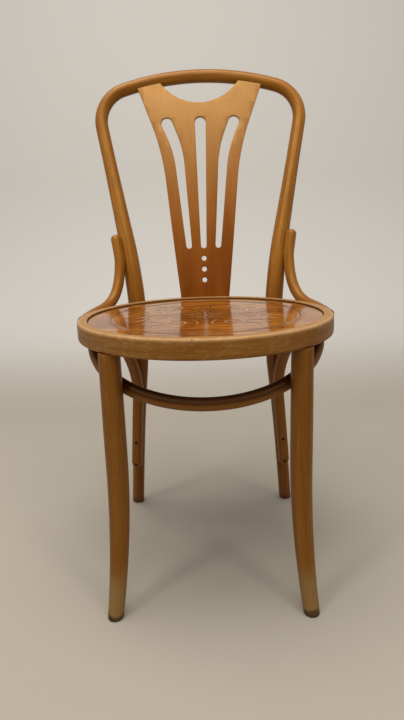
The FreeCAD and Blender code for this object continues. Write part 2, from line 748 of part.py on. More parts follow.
strapLegScrews = Fastening()
for rise in (size("strapScrewLow"), size("strapScrewLow") + size("strapScrewPitch")):
    strapLegScrews.addBothSides(
        strapOnLeg(size("strapFootHeight") + rise) + strapOut * half("strapThick"),
        strapOut * -1.0, size("strapThick") + size("screwBite"))
strapRingScrews = Fastening()
strapScrewUp = strapForward * -math.sin(angle("ringScrewLean")) + Vector(
    0, 0, math.cos(angle("ringScrewLean")))
strapCover = half("strapThick") / math.cos(angle("strapRise") - angle("ringScrewLean"))
strapRingScrews.addBothSides(
    strapEnd - strapScrewUp * strapCover, strapScrewUp, strapCover + size("screwBite"))

# Splat: a curved board, cut to a fan and pierced.
splatBottom = ringUnder + size("splatTail")
splatFootY = half("seatDepth") - size("splatSeat") + half("splatThick")
splatTopY = postDepth(hoopTop) - size("splatForward")
splatLean = math.atan2(splatTopY - splatFootY, hoopTop - splatKneeHeight)
splat = doc.addObject("PartDesign::Body", "back_splat")


def pierced(name, outlines):
    # Cuts straight through the board, seen from the front.
    cut = splat.newObject("PartDesign::Pocket", name)
    cut.Profile = sketchOn(splat, name + "_outline", "XZ_Plane", outlines)
    cut.Type = "ThroughAll"
    cut.SideType = "Symmetric"
    return cut


def arcThrough(first, middle, last):
    return Part.ArcOfCircle(first, middle, last)


def boardSide(offset, radius):
    # One face of the board, seen from the side: upright, bent at the knee, then leaning back.
    lean = flatPoint(math.sin(splatLean), math.cos(splatLean))
    side = flatPoint(math.cos(splatLean), -math.sin(splatLean)) * offset
    foot = flatPoint(splatFootY + offset, splatBottom)
    knee = flatPoint(
        splatFootY + offset, splatKneeHeight - offset * math.tan(splatLean / 2.0))
    top = flatPoint(splatTopY, hoopTop) + side + lean * size("hoopDia")
    return [foot] + list(filletPoints(foot, knee, top, radius)) + [top]


def boardProfile():
    front = boardSide(-half("splatThick"), size("splatKneeRadius") + half("splatThick"))
    back = boardSide(half("splatThick"), size("splatKneeRadius") - half("splatThick"))
    return [
        Part.LineSegment(front[0], front[1]), arcThrough(*front[1:4]),
        Part.LineSegment(front[3], front[4]), Part.LineSegment(front[4], back[4]),
        Part.LineSegment(back[4], back[3]), arcThrough(back[3], back[2], back[1]),
        Part.LineSegment(back[1], back[0]), Part.LineSegment(back[0], front[0]),
    ]


board = splat.newObject("PartDesign::Pad", "board")
board.Profile = sketchOn(splat, "board_profile", "YZ_Plane", [boardProfile()])
board.SideType = "Symmetric"
bind(board, Length="Sizes.splatTopWidth + Sizes.splatThick")

splatTopRadius = size("crownRadius") - half("hoopDia") + size("splatLet")


def fanOutline():
    foot = flatPoint(half("splatFootWidth"), splatBottom)
    corner = flatPoint(half("splatWaistWidth"), splatWaistHeight)
    tip = flatPoint(
        half("splatTopWidth"),
        crownCentre.z + math.sqrt(splatTopRadius ** 2 - half("splatTopWidth") ** 2))
    low, middle, high = filletPoints(foot, corner, tip, size("splatFlareRadius"))
    top = flatPoint(0, crownCentre.z + splatTopRadius)
    across = [flatPoint(-point.x, point.y) for point in (foot, low, middle, high, tip)]
    return [
        Part.LineSegment(across[0], foot), Part.LineSegment(foot, low),
        arcThrough(low, middle, high), Part.LineSegment(high, tip), arcThrough(tip, top, across[4]),
        Part.LineSegment(across[4], across[3]), arcThrough(across[3], across[2], across[1]),
        Part.LineSegment(across[1], across[0]),
    ]


def boardFrame():
    # A rectangle round the whole board, outside the fan.
    side, low, high = size("splatTopWidth"), splatBottom - size("splatTail"), size("backHeight") * 1.1
    corners = [
        flatPoint(-side, low), flatPoint(side, low), flatPoint(side, high), flatPoint(-side, high)]
    return [Part.LineSegment(*pair) for pair in zip(corners, corners[1:] + corners[:1])]


def slotOutline(stations, radius):
    # stations: (point, half width) up the middle of the slot. Its ends are round.
    points = [point for point, width in stations]
    ways = [(end - start).normalize() for start, end in zip(points, points[1:])]
    turns = [ways[0]] + [(a + b).normalize() for a, b in zip(ways, ways[1:])] + [ways[-1]]
    sides = []
    for sign in (1.0, -1.0):
        sides.append([
            point + flatPoint(way.y, -way.x) * width * sign
            for (point, width), way in zip(stations, turns)])
    right, left = sides
    low, high = points[0] - ways[0] * stations[0][1], points[-1] + ways[-1] * stations[-1][1]
    outline = [arcThrough(left[0], low, right[0])]
    outline += bentSide(right, radius)
    outline.append(arcThrough(right[-1], high, left[-1]))
    outline += bentSide(left[::-1], radius)
    return outline


def bentSide(points, radius):
    if len(points) == 2:
        return [Part.LineSegment(*points)]
    first, middle, last = filletPoints(*points, radius)
    return [
        Part.LineSegment(points[0], first), arcThrough(first, middle, last),
        Part.LineSegment(last, points[2])]


def outerSlot():
    low = flatPoint(size("slotBottomOffset"), slotBottomHeight)
    bendPoint = flatPoint(size("slotWaistOffset"), slotWaistHeight)
    high = flatPoint(size("slotTopOffset"), slotTopHeight)
    share = (bendPoint - low).Length / ((bendPoint - low).Length + (high - bendPoint).Length)
    middleWidth = half("slotBottomWidth") + share * (half("slotTopWidth") - half("slotBottomWidth"))
    return slotOutline(
        [(low, half("slotBottomWidth")), (bendPoint, middleWidth), (high, half("slotTopWidth"))],
        size("slotBendRadius"))


def middleSlot():
    return slotOutline([
        (flatPoint(0, slotBottomHeight), half("slotBottomWidth")),
        (flatPoint(0, slotTopHeight), half("slotTopWidth"))], 0.0)


fanCut = pierced("fan_cut", [fanOutline(), boardFrame()])
slotCut = pierced("slot_cut", [outerSlot()])
slotPair = splat.newObject("PartDesign::Mirrored", "slot_pair")
slotPair.Originals = [slotCut]
slotPair.MirrorPlane = (originPlane(splat, "YZ_Plane"), [""])
splat.Tip = slotPair
middleCut = pierced("middle_slot_cut", [middleSlot()])
handCut = pierced("hand_cut", [[Part.Circle(
    flatPoint(0, hoopTop - size("handDepth") + size("handRadius")), Vector(0, 0, 1),
    size("handRadius"))]])
eyeHeights = [
    slotBottomHeight - size("eyeDrop") - number * size("eyePitch") for number in range(3)]
eyeCut = pierced("eye_cut", [[
    Part.Circle(flatPoint(0, height), Vector(0, 0, 1), half("eyeDia"))] for height in eyeHeights])
splat.Tip = eyeCut
doc.recompute()

splatScrews = Fastening()
splatScrews.addBothSides(
    Vector(half("splatScrewPitch"), splatFootY + half("splatThick"), splatScrewHeight),
    Vector(0, -1, 0), size("splatThick") + size("screwBite"))
splatCutter = feature("splat_cutter", Part.makeCompound(splatScrews.holes))
splatScrewed = cutObject("splat_screwed", splat, splatCutter)

# Bolts through posts and ring, with a washer and a nut inside the ring.
boltPlace = turned(
    besideRing(postPlace, size("postDia") - size("postFlat"), boltHeight),
    ringNormal(postPlace) * -1.0, Vector(0, 0, 1))
headSeat = half("postDia") - math.sqrt(half("postDia") ** 2 - half("boltHeadDia") ** 2)
boltGrip = size("postDia") - size("postFlat") + throughRing(postPlace) + size("fitGap")
washerSag = half("washerDia") ** 2 / size("seatDepth")


def onBothPosts(shape):
    shape.Placement = boltPlace
    return [shape, mirrored(shape)]


def along(width, start, end):
    # A round bar on the bolt's line, from start to end behind the post's outer face.
    return Part.makeCylinder(width / 2.0, end - start, Vector(0, 0, start))


def boltShape():
    domeRadius = (half("boltHeadDia") ** 2 + size("boltHeadHeight") ** 2) / (
        2.0 * size("boltHeadHeight"))
    dome = Part.makeSphere(domeRadius, Vector(0, 0, headSeat + domeRadius - size("boltHeadHeight")))
    head = dome.common(along(size("boltHeadDia") * 2.0, headSeat - size("boltHeadHeight"), headSeat))
    end = boltGrip + washerSag + size("washerThick") + size("nutThick") + size("boltSpare")
    return head.fuse(along(size("boltDia"), headSeat, end)).removeSplitter()


def washerShape():
    start = boltGrip + washerSag
    disc = along(size("washerDia"), start, start + size("washerThick"))
    return disc.cut(along(size("boltDia") + 2.0 * size("fitGap"), 0.0, 2.0 * boltGrip))


def nutShape():
    start = boltGrip + washerSag + size("washerThick")
    reach = half("nutAcross") / math.cos(math.pi / 6.0)
    corners = [
        Vector(reach * math.cos(turn * math.pi / 3.0), reach * math.sin(turn * math.pi / 3.0), start)
        for turn in range(7)]
    block = Part.Face(Part.makePolygon(corners)).extrude(Vector(0, 0, size("nutThick")))
    return block.cut(along(size("boltDia") + 2.0 * size("fitGap"), 0.0, 2.0 * boltGrip))


boltHole = along(size("boltDia") + 2.0 * size("fitGap"), 0.0, boltGrip + size("ringWidth"))
headHole = along(size("boltHeadDia") + 2.0 * size("fitGap"), -size("boltHeadDia"), headSeat)

# Back frame: the bent rod with its seats, groove and holes.
def hoopRod(gap):
    line = hoopLine()
    return bentPiece(
        line, Vector(0, 1, 0),
        lambda number: roundSection(postWidth(line[number].z) + 2.0 * gap))


def splatGroove():
    # The board's top, moved each way by the fitting gap.
    gap = size("fitGap")
    space = Part.makeBox(
        size("hoopWidth"), size("backHeight"), size("handDepth"),
        Vector(-half("hoopWidth"), 0, hoopTop - size("handDepth")))
    top = splat.Shape.common(space)
    return [top.translated(Vector(0, way, gap)) for way in (gap, -gap)]


plainHoop = hoopRod(0.0)
fatHoop = hoopRod(size("fitGap"))
hoopCuts = [ringSkin()] + splatGroove() + onBothPosts(boltHole) + onBothPosts(headHole)
hoopCuts += armPostScrews.holes + strapLegScrews.holes
backFrame = standing(plainHoop).cut(hoopCuts)

sideBar = sideBracket().cut([fatHoop, ringSkin()] + armPostScrews.holes + armRingScrews.holes)
rearStrip = rearBracket().cut([fatHoop] + strapLegScrews.holes + strapRingScrews.holes)

# The ring's holes and its flat for the splat.
splatFlat = Part.makeBox(
    size("seatWidth"), size("ringWidth"), 2.0 * size("ringHeight"),
    Vector(-half("seatWidth"), half("seatDepth") - size("splatSeat"),
           ringUnder - half("ringHeight")))
ringCuts = [splatFlat, tenonHole, mirrored(tenonHole)]
ringCuts += onBothPosts(boltHole)
for fastening in (armRingScrews, bowRingScrews, strapRingScrews, splatScrews):
    ringCuts += fastening.holes
seatRing = feature("seat_ring", ringBlank.cut(ringCuts))

# Panel: pressed plywood in the rabbet.
seatPanel = ellipsePrism(
    "seat_panel", "Sizes.ringWidth - Sizes.rabbetWidth + Sizes.panelGap", ledge,
    "Sizes.seatHeight - Sizes.panelDrop")

# Corner blocks behind the front legs, against the ring's inner face.
legPlace = math.atan2(legY / ringMidY, legX / ringMidX)
blockFace = besideRing(legPlace, -throughRing(legPlace), ringUnder)
blockBox = doc.addObject("Part::Box", "block_box")
bind(blockBox, Length="Sizes.blockDepth * 2", Width="Sizes.blockLength", Height="Sizes.blockHeight")
blockBox.Placement = turned(blockFace, Vector(0, 0, 1), ringNormal(legPlace)) * FreeCAD.Placement(
    Vector(-size("blockDepth"), -half("blockLength"), 0), FreeCAD.Rotation())
blockSpace = ellipsePrism(
    "block_space", "Sizes.ringWidth + Sizes.fitGap", underside, "Sizes.seatHeight")
blockRight = doc.addObject("Part::Common", "corner_block_right")
blockRight.Base = blockSpace
blockRight.Tool = blockBox
doc.recompute()

fatLeg = legRod(size("fitGap"))
bowSeats = [aboveRingUnder, fatLeg, mirrored(fatLeg)]
frontBow = bowRod.cut(bowSeats + bowLegScrews.holes + bowRingScrews.holes)
frontLegShape = frontLeg().cut(bowLegScrews.holes[0])

# Every piece in its own node.
nodes = {
    "back_frame": feature("back_frame", backFrame),
    "back_splat": splatScrewed,
    "seat_ring": seatRing,
    "seat_panel": seatPanel,
    "front_leg_left": feature("front_leg_left", mirrored(frontLegShape)),
    "front_leg_right": feature("front_leg_right", frontLegShape),
    "front_bow": feature("front_bow", frontBow),
    "arm_bracket_left": feature("arm_bracket_left", mirrored(sideBar)),
    "arm_bracket_right": feature("arm_bracket_right", sideBar),
    "rear_bracket_left": feature("rear_bracket_left", mirrored(rearStrip)),
    "rear_bracket_right": feature("rear_bracket_right", rearStrip),
    "corner_block_left": feature("corner_block_left", mirrored(blockRight.Shape)),
    "corner_block_right": blockRight,
    "back_bolts": feature("back_bolts", Part.makeCompound(onBothPosts(boltShape()))),
    "back_bolt_washers": feature("back_bolt_washers", Part.makeCompound(onBothPosts(washerShape()))),
    "back_bolt_nuts": feature("back_bolt_nuts", Part.makeCompound(onBothPosts(nutShape()))),
    "arm_post_screws": armPostScrews.group("arm_post_screws"),
    "arm_ring_screws": armRingScrews.group("arm_ring_screws"),
    "bow_leg_screws": bowLegScrews.group("bow_leg_screws"),
    "bow_ring_screws": bowRingScrews.group("bow_ring_screws"),
    "bracket_leg_screws": strapLegScrews.group("bracket_leg_screws"),
    "bracket_ring_screws": strapRingScrews.group("bracket_ring_screws"),
    "splat_screws": splatScrews.group("splat_screws"),
}
for name, item in nodes.items():
    item.Label = name
    item.Placement = FreeCAD.Placement(Vector(0, -setback, 0), FreeCAD.Rotation())
doc.recompute()

for item in doc.Objects:
    if "Invalid" in item.State or "Error" in item.State:
        raise RuntimeError("not built: " + item.Label)
for name, item in nodes.items():
    if item.Shape.isNull() or not item.Shape.isValid():
        raise RuntimeError("bad shape: " + name)

os.makedirs("parts", exist_ok=True)
for name, item in nodes.items():
    item.Shape.exportStep("parts/%s.step" % name)
    box = item.Shape.optimalBoundingBox()
    print("%-20s solids %d volume %.1f x %.1f %.1f y %.1f %.1f z %.1f %.1f" % (
        name, len(item.Shape.Solids), item.Shape.Volume, box.XMin, box.XMax, box.YMin, box.YMax,
        box.ZMin, box.ZMax))
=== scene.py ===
import math

import bmesh
import bpy
import numpy as np
from mathutils import Matrix, Vector, kdtree


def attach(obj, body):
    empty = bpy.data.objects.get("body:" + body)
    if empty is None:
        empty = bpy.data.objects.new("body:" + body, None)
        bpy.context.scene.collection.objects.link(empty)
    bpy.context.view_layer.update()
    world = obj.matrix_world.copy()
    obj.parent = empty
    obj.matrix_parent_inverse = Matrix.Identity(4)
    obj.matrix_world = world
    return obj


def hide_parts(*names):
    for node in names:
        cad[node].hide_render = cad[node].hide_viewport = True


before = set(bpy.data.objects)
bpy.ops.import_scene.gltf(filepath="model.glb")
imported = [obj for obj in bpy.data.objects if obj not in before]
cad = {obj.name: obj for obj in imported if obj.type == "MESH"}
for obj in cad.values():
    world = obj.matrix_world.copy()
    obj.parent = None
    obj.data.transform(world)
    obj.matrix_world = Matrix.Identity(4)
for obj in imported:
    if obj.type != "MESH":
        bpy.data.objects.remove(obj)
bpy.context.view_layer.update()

scene = bpy.context.scene
scene.view_settings.view_transform = "Standard"

# The chair faces -Y. Lengths are metres, and seatMiddle is the seat's centre in plan.
seatMiddle = -0.0514
up = np.array([0.0, 0.0, 1.0])


# Small maths helpers

def ease(low, high, place):
    share = np.clip((place - low) / (high - low), 0.0, 1.0)
    return share * share * (3.0 - 2.0 * share)


def unit(vectors):
    return vectors / np.linalg.norm(vectors, axis=-1, keepdims=True)


def arcPoints(centre, radius, start, end, count):
    turn = np.linspace(start, end, count)
    return np.stack([centre[0] + radius * np.cos(turn), centre[1] + radius * np.sin(turn)], 1)


def bezier(a, b, c, d, count):
    t = np.linspace(0.0, 1.0, count)[:, None]
    return a * (1 - t) ** 3 + 3 * b * t * (1 - t) ** 2 + 3 * c * t * t * (1 - t) + d * t ** 3


def arcLengths(line):
    return np.concatenate([[0.0], np.cumsum(np.linalg.norm(np.diff(line, axis=0), axis=1))])


def placed(line, along):
    # Points of a line at the given lengths along it.
    lengths = arcLengths(line)
    return np.stack([np.interp(along, lengths, values) for values in line.T], 1)


def mirrorX(points):
    return points * np.array([-1.0, 1.0, 1.0])


def filleted(before, corner, after, radius, count=24):
    # The arc that rounds a corner, as points.
    corner, before, after = np.array(corner), np.array(before), np.array(after)
    back, ahead = unit(before - corner), unit(after - corner)
    half = math.acos(np.clip(back @ ahead, -1, 1)) / 2
    centre = corner + unit(back + ahead) * radius / math.sin(half)
    start, end = corner + back * radius / math.tan(half), corner + ahead * radius / math.tan(half)
    return np.array([
        centre + radius * unit((start - centre) * (1 - share) + (end - centre) * share)
        for share in np.linspace(0.0, 1.0, count)])


# Meshes
sharpAngle = math.radians(42)
roundStations = 7  # on each rounded end of a bar
thickAround, thinAround = 44, 36  # points round a thick rod and a thin one


def makePiece(name, points, faces, grain, node, press=None):
    # grain is each point's place in the straight bar or board, before it was bent.
    mesh = bpy.data.meshes.new(name)
    mesh.from_pydata(points.tolist(), [], faces)
    place = mesh.attributes.new("grainPlace", "FLOAT_VECTOR", "POINT")
    place.data.foreach_set("vector", np.asarray(grain, float).ravel())
    if press is not None:
        depth = mesh.attributes.new("pressed", "FLOAT", "POINT")
        depth.data.foreach_set("value", press)
    mesh.update()
    mesh.shade_smooth()
    mesh.set_sharp_from_angle(angle=sharpAngle)
    piece = bpy.data.objects.new(name, mesh)
    scene.collection.objects.link(piece)
    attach(piece, "root")
    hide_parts(node)
    return piece


def endRounds(length, step, rounds):
    # Lengths of the stations along a bar, and how far its outline is drawn in at each.
    startRound, endRound = rounds
    turn = np.linspace(0.0, math.pi / 2, roundStations)
    middle = np.linspace(startRound, length - endRound, max(int(length / step), 2))
    along = np.concatenate([
        startRound * (1 - np.cos(turn[:-1])), middle,
        length - endRound * (1 - np.cos(turn[-2::-1]))])
    drawn = np.concatenate([
        startRound * (1 - np.sin(turn[:-1])), np.zeros(len(middle)),
        endRound * (1 - np.sin(turn[-2::-1]))])
    return along, drawn


def sweptBar(line, aside, outline, rounds, step=0.006, level=(False, False)):
    # outline(place, length, drawnIn) gives a closed flat outline, its X towards aside. An end
    # that is level is turned to lie flat, as a leg's foot does on the floor.
    length = arcLengths(line)[-1]
    along, drawn = endRounds(length, step, rounds)
    centres = placed(line, along)
    fine = 0.002  # the bar's way is measured over this length on each side
    levelReach = 0.03  # and its end turns level over this one
    ways = unit(placed(line, np.minimum(along + fine, length))
                - placed(line, np.maximum(along - fine, 0.0)))
    normals = ways.copy()
    for atEnd, isLevel in enumerate(level):
        if isLevel:
            gap = along if atEnd == 0 else length - along
            share = (1.0 - ease(0.0, levelReach, gap))[:, None]
            sign = np.sign(ways[0 if atEnd == 0 else -1] @ up)
            normals = unit(normals * (1 - share) + up * sign * share)
    sides = np.broadcast_to(np.asarray(aside, float), centres.shape)
    x = unit(sides - normals * np.sum(sides * normals, 1, keepdims=True))
    y = np.cross(normals, x)
    lean = 1.0 / np.sum(ways * normals, 1)
    points, grain = [], []
    for number in range(len(along)):
        flat = outline(centres[number], along[number], drawn[number])
        points.append(
            centres[number] + flat[:, :1] * x[number] * lean[number] + flat[:, 1:] * y[number])
        grain.append(np.column_stack([np.full(len(flat), along[number]), flat]))
    around = len(points[0])
    faces = ringFaces(len(points), around, False)
    points, grain = np.concatenate(points), np.concatenate(grain)
    last = len(points)
    ends = np.stack([centres[0], centres[-1]])
    points = np.concatenate([points, ends])
    grain = np.concatenate([grain, [[along[0], 0, 0], [along[-1], 0, 0]]])
    for number in range(around):
        after = (number + 1) % around
        faces.append((last, after, number))
        faces.append((last + 1, last - around + number, last - around + after))
    return points, faces, grain


def ringFaces(rings, around, closed):
    # Faces between rings of points, and from the last ring to the first if closed.
    faces = []
    for ring in range(rings if closed else rings - 1):
        after = (ring + 1) % rings
        for number in range(around):
            beside = (number + 1) % around
            faces.append((
                ring * around + number, ring * around + beside,
                after * around + beside, after * around + number))
    return faces


def circle(radius, around):
    turn = np.linspace(0.0, 2 * math.pi, around, endpoint=False)
    return np.stack([radius * np.cos(turn), radius * np.sin(turn)], 1)


def flipped(shape):
    # The left piece of a pair, with its grain from elsewhere in the tree.
    points, faces, grain = shape
    elsewhere = grain * [1, 1, -1] + [0, 3, 0]
    return mirrorX(points), [tuple(reversed(face)) for face in faces], elsewhere


def makePair(name, shape, node):
    # The right piece and its mirrored left one.
    return (makePiece(name + "Right", *shape, node + "_right"),
            makePiece(name + "Left", *flipped(shape), node + "_left"))


def bored(shape, seats):
    # Cuts round recesses: (centre, outward way, radius, depth). A new point takes the grain place
    # of the nearest old one.
    points, faces, grain = shape
    blank, cutter = bpy.data.meshes.new("blank"), bpy.data.meshes.new("cutter")
    blank.from_pydata(points.tolist(), [], faces)
    tools = bmesh.new()
    reach = 0.007  # of each cutter outside the piece
    for centre, way, radius, depth in seats:
        way = Vector(way).normalized()
        turned = way.to_track_quat("Z", "Y").to_matrix().to_4x4()
        middle = Vector(centre) + way * (reach - depth) / 2
        bmesh.ops.create_cone(
            tools, cap_ends=True, segments=36, radius1=radius, radius2=radius,
            depth=reach + depth, matrix=Matrix.Translation(middle) @ turned)
    tools.to_mesh(cutter)
    tools.free()
    holders = [bpy.data.objects.new(mesh.name, mesh) for mesh in (blank, cutter)]
    for holder in holders:
        scene.collection.objects.link(holder)
    cut = holders[0].modifiers.new("cut", "BOOLEAN")
    cut.operation, cut.solver, cut.object = "DIFFERENCE", "EXACT", holders[1]
    bpy.context.view_layer.update()
    result = bpy.data.meshes.new_from_object(
        holders[0].evaluated_get(bpy.context.evaluated_depsgraph_get()))
    for holder in holders:
        bpy.data.objects.remove(holder)
    tree = kdtree.KDTree(len(points))
    for number, point in enumerate(points):
        tree.insert(point, number)
    tree.balance()
    newPoints = np.array([vertex.co for vertex in result.vertices])
    nearest = [tree.find(point)[1] for point in newPoints]
    newFaces = [tuple(polygon.vertices) for polygon in result.polygons]
    bpy.data.meshes.remove(result)
    return newPoints, newFaces, grain[nearest]


def bothSides(centre, way, radius, depth):
    centre, way = np.array(centre), np.array(way)
    return [(centre, way, radius, depth), (mirrorX(centre), mirrorX(way), radius, depth)]


# Screw heads' places and outward ways on the right, from the solid model.
headRadius, headSink = 0.0039, 0.0009
screwHeads = {
    "postToBracket": ((0.13730, 0.15539, 0.5630), (-0.719, 0.695, 0.0)),
    "ringToBracket": ((0.17781, 0.00018, 0.44667), (-0.953, -0.304, 0.0)),
    "bowToLeg": ((0.12051, -0.15463, 0.37063), (-0.593, 0.805, 0.0)),
    "bowToRing": ((0.18311, -0.05927, 0.41307), (-0.375, 0.0, -0.927)),
    "stripLow": ((0.15733, 0.13240, 0.1080), (0.122, -0.993, 0.0)),
    "stripHigh": ((0.15233, 0.12210, 0.1620), (0.122, -0.993, 0.0)),
    "stripToRing": ((0.17747, 0.03240, 0.42322), (0.168, -0.388, -0.906)),
    "splatFoot": ((0.0270, 0.1518, 0.4440), (0.0, 1.0, 0.0)),
}
boltHead = ((0.14228, 0.13471, 0.4410), (0.580, 0.815, 0.0), 0.0077, 0.0002)


def headSeats(*names, sides=True):
    seats = []
    for name in names:
        pair = bothSides(*screwHeads[name], headRadius, headSink)
        seats += pair if sides else pair[:1]
    return seats


# Seat ring: an elliptical bent hoop with a ledge for the panel
seatRing = {
    "halfWidth": 0.2110, "halfDepth": 0.2025, "top": 0.460, "height": 0.031, "width": 0.025,
    "rabbet": 0.009, "ledge": 0.452, "round": 0.0042, "innerRound": 0.0018, "flat": 0.0045,
    "underRound": 0.0008, "ledgeRound": 0.0006, "stations": 320,
}
stretch = seatRing["halfWidth"] / seatRing["halfDepth"]
underRing = seatRing["top"] - seatRing["height"]


def besideRing(turn, outward, height):
    # A point beside the ring's outer face, at an angle from +X round to +Y.
    turn = np.asarray(turn, float)
    x, y = seatRing["halfWidth"] * np.cos(turn), seatRing["halfDepth"] * np.sin(turn)
    normal = unit(np.stack([np.cos(turn) / seatRing["halfWidth"],
                            np.sin(turn) / seatRing["halfDepth"]], -1))
    return np.stack([
        x + normal[..., 0] * outward, seatMiddle + y + normal[..., 1] * outward,
        np.broadcast_to(height, turn.shape)], -1)


def roundedProfile(corners, steps=6):
    # Corners as (x, y, round), joined into one closed outline.
    outline = []
    for number, (x, y, radius) in enumerate(corners):
        after = corners[(number + 1) % len(corners)]
        if radius > 0:
            outline.append(filleted(corners[number - 1][:2], (x, y), after[:2], radius, steps))
        else:
            outline.append(np.array([[x, y]]))
    return np.concatenate(outline)


def buildRing():
    s = seatRing
    inner, recess = s["width"], s["width"] - s["rabbet"]
    profile = roundedProfile([
        (inner, underRing, s["underRound"]), (0.0, underRing, s["round"]),
        (0.0, underRing + s["height"] * 0.5, 0.0), (0.0, s["top"], s["round"]),
        (recess, s["top"], s["innerRound"]), (recess, s["ledge"], 0.0),
        (inner, s["ledge"], s["ledgeRound"])])
    turns = np.linspace(0.0, 2 * math.pi, s["stations"], endpoint=False)
    points, grain = [], []
    for turn in turns:
        radius = s["halfDepth"] - profile[:, 0]
        x, y = radius * math.cos(turn) * stretch, radius * math.sin(turn)
        y = np.minimum(y, s["halfDepth"] - s["flat"])
        points.append(np.stack([x, y + seatMiddle, profile[:, 1]], 1))
        grain.append(np.stack([
            np.full(len(profile), turn * s["halfWidth"]), profile[:, 0], profile[:, 1]], 1))
    faces = ringFaces(len(points), len(profile), True)
    return np.concatenate(points), faces, np.concatenate(grain)


def offRing(points, gap=0.0001):
    # Pushes points that lie inside the ring's outer face out to it, for the seats of the posts.
    moved, height = points.copy(), points[:, 2]
    x = moved[:, 0] / (seatRing["halfWidth"] + gap)
    y = (moved[:, 1] - seatMiddle) / (seatRing["halfDepth"] + gap)
    reach = np.hypot(x, y)
    beside = (height > underRing - gap) & (height < seatRing["top"] + gap)
    inside = (reach < 1.0) & (reach > 0.8) & beside
    moved[inside, 0] /= reach[inside]
    moved[inside, 1] = seatMiddle + (moved[inside, 1] - seatMiddle) / reach[inside]
    return moved


print("seat ring")
ring = makePiece("bentRing", *bored(buildRing(), headSeats("ringToBracket")), "seat_ring")

# Back frame: one bent rod, from the right foot over the top to the left one
backFrame = {
    "top": 0.8965, "halfWidth": 0.207, "rod": 0.0250, "post": 0.0335, "foot": 0.0255,
    "footSpread": 0.329, "rearSplay": 5.3, "sideSlope": 11.3, "waistRadius": 0.930,
    "shoulderRadius": 0.062, "crownRadius": 0.520, "sweepRadius": 1.570, "kneeRadius": 0.400,
    "recline": 16.7, "swellStart": 0.180, "swellEnd": 0.765, "postY": 0.1226, "footRound": 0.003,
    "sideTop": 0.8,
}


def postDepth(height):
    s = backFrame
    low = s["postY"] + s["sweepRadius"] - np.sqrt(
        s["sweepRadius"] ** 2 - np.minimum(height - underRing, 0.0) ** 2)
    lean = math.radians(s["recline"])
    kneeTop = underRing + s["kneeRadius"] * math.sin(lean)
    bent = np.clip(height - underRing, 0.0, kneeTop - underRing)
    knee = s["kneeRadius"] - np.sqrt(s["kneeRadius"] ** 2 - bent ** 2)
    return low + knee + np.maximum(height - kneeTop, 0.0) * math.tan(lean)


def postWidth(height):
    s = backFrame
    swell = s["foot"] + (s["post"] - s["foot"]) * ease(s["swellStart"], seatRing["top"], height)
    taper = s["post"] + (s["rod"] - s["post"]) * ease(seatRing["top"], s["swellEnd"], height)
    return np.where(height < seatRing["top"], swell, taper)


def hoopOutline():
    # Half of the rod, seen from the front, as (x, z) from the foot to the middle of the top.
    s = backFrame
    splay, slope = math.radians(s["rearSplay"]), math.radians(s["sideSlope"])
    half, top = s["halfWidth"] - s["rod"] / 2, s["top"] - s["rod"] / 2
    legUp = np.array([-math.sin(splay), math.cos(splay)])
    sideUp = np.array([math.sin(slope), math.cos(slope)])
    sideOut = np.array([math.cos(slope), -math.sin(slope)])
    across = half - s["shoulderRadius"]
    crown = np.array([0.0, top - s["crownRadius"]])
    shoulder = crown + [across, math.sqrt(
        (s["crownRadius"] - s["shoulderRadius"]) ** 2 - across ** 2)]
    sideEnd = shoulder + sideOut * s["shoulderRadius"]
    foot = np.array([s["footSpread"] / 2, 0.0])
    between = foot - sideEnd
    reach = (between[1] * legUp[0] - between[0] * legUp[1]) / (
        sideUp[1] * legUp[0] - sideUp[0] * legUp[1])
    waist = sideEnd + sideUp * reach
    turn = (splay + slope) / 2
    out = unit(sideUp - legUp)
    centre = waist + out * s["waistRadius"] / math.cos(turn)
    runs = [foot[None], arcPoints(centre, s["waistRadius"], math.pi + splay, math.pi - slope, 60)]
    crownTurn = math.atan2(shoulder[1] - crown[1], across)
    runs.append(arcPoints(shoulder, s["shoulderRadius"], -slope, crownTurn, 50))
    runs.append(arcPoints(crown, s["crownRadius"], crownTurn, math.pi / 2, 30)[1:])
    return np.concatenate(runs)


def hoopLine():
    outline = hoopOutline()
    fine = placed(outline, np.linspace(0.0, arcLengths(outline)[-1], 500))
    right = np.stack([fine[:, 0], postDepth(fine[:, 1]), fine[:, 1]], 1)
    return np.concatenate([right, mirrorX(right[::-1])[1:]])


def buildBackFrame():
    points, faces, grain = sweptBar(
        hoopLine(), (0, 1, 0),
        lambda place, along, drawn: circle(postWidth(place[2]) / 2 - drawn, thickAround),
        (backFrame["footRound"], backFrame["footRound"]), step=0.007, level=(True, True))
    return bored((offRing(points), faces, grain), headSeats("postToBracket") + bothSides(*boltHead))


print("back frame")
hoop = makePiece("bentBack", *buildBackFrame(), "back_frame")

# Front legs: straight under the ring, then curved outward to the floor
frontLegs = {
    "x": 0.142, "top": 0.033, "full": 0.0345, "foot": 0.025, "fullHeight": 0.290,
    "bendHeight": 0.250, "kick": 0.033, "splay": 26.0, "footRound": 0.0035, "topRound": 0.0003,
}
ringMidY = seatRing["halfDepth"] - seatRing["width"] / 2
legMiddle = np.array([frontLegs["x"], seatMiddle - ringMidY * math.sqrt(
    1 - (frontLegs["x"] / (ringMidY * stretch)) ** 2), 0.0])
legOut = np.array([math.sin(math.radians(frontLegs["splay"])),
                   -math.cos(math.radians(frontLegs["splay"])), 0.0])


def legWidth(height):
    s = frontLegs
    share = np.sin(math.pi / 2 * np.clip(height / s["fullHeight"], 0.0, 1.0))
    low = s["foot"] + (s["full"] - s["foot"]) * share
    high = s["full"] + (s["top"] - s["full"]) * np.clip(
        (height - s["fullHeight"]) / (underRing - s["fullHeight"]), 0.0, 1.0)
    return np.where(height < s["fullHeight"], low, high)


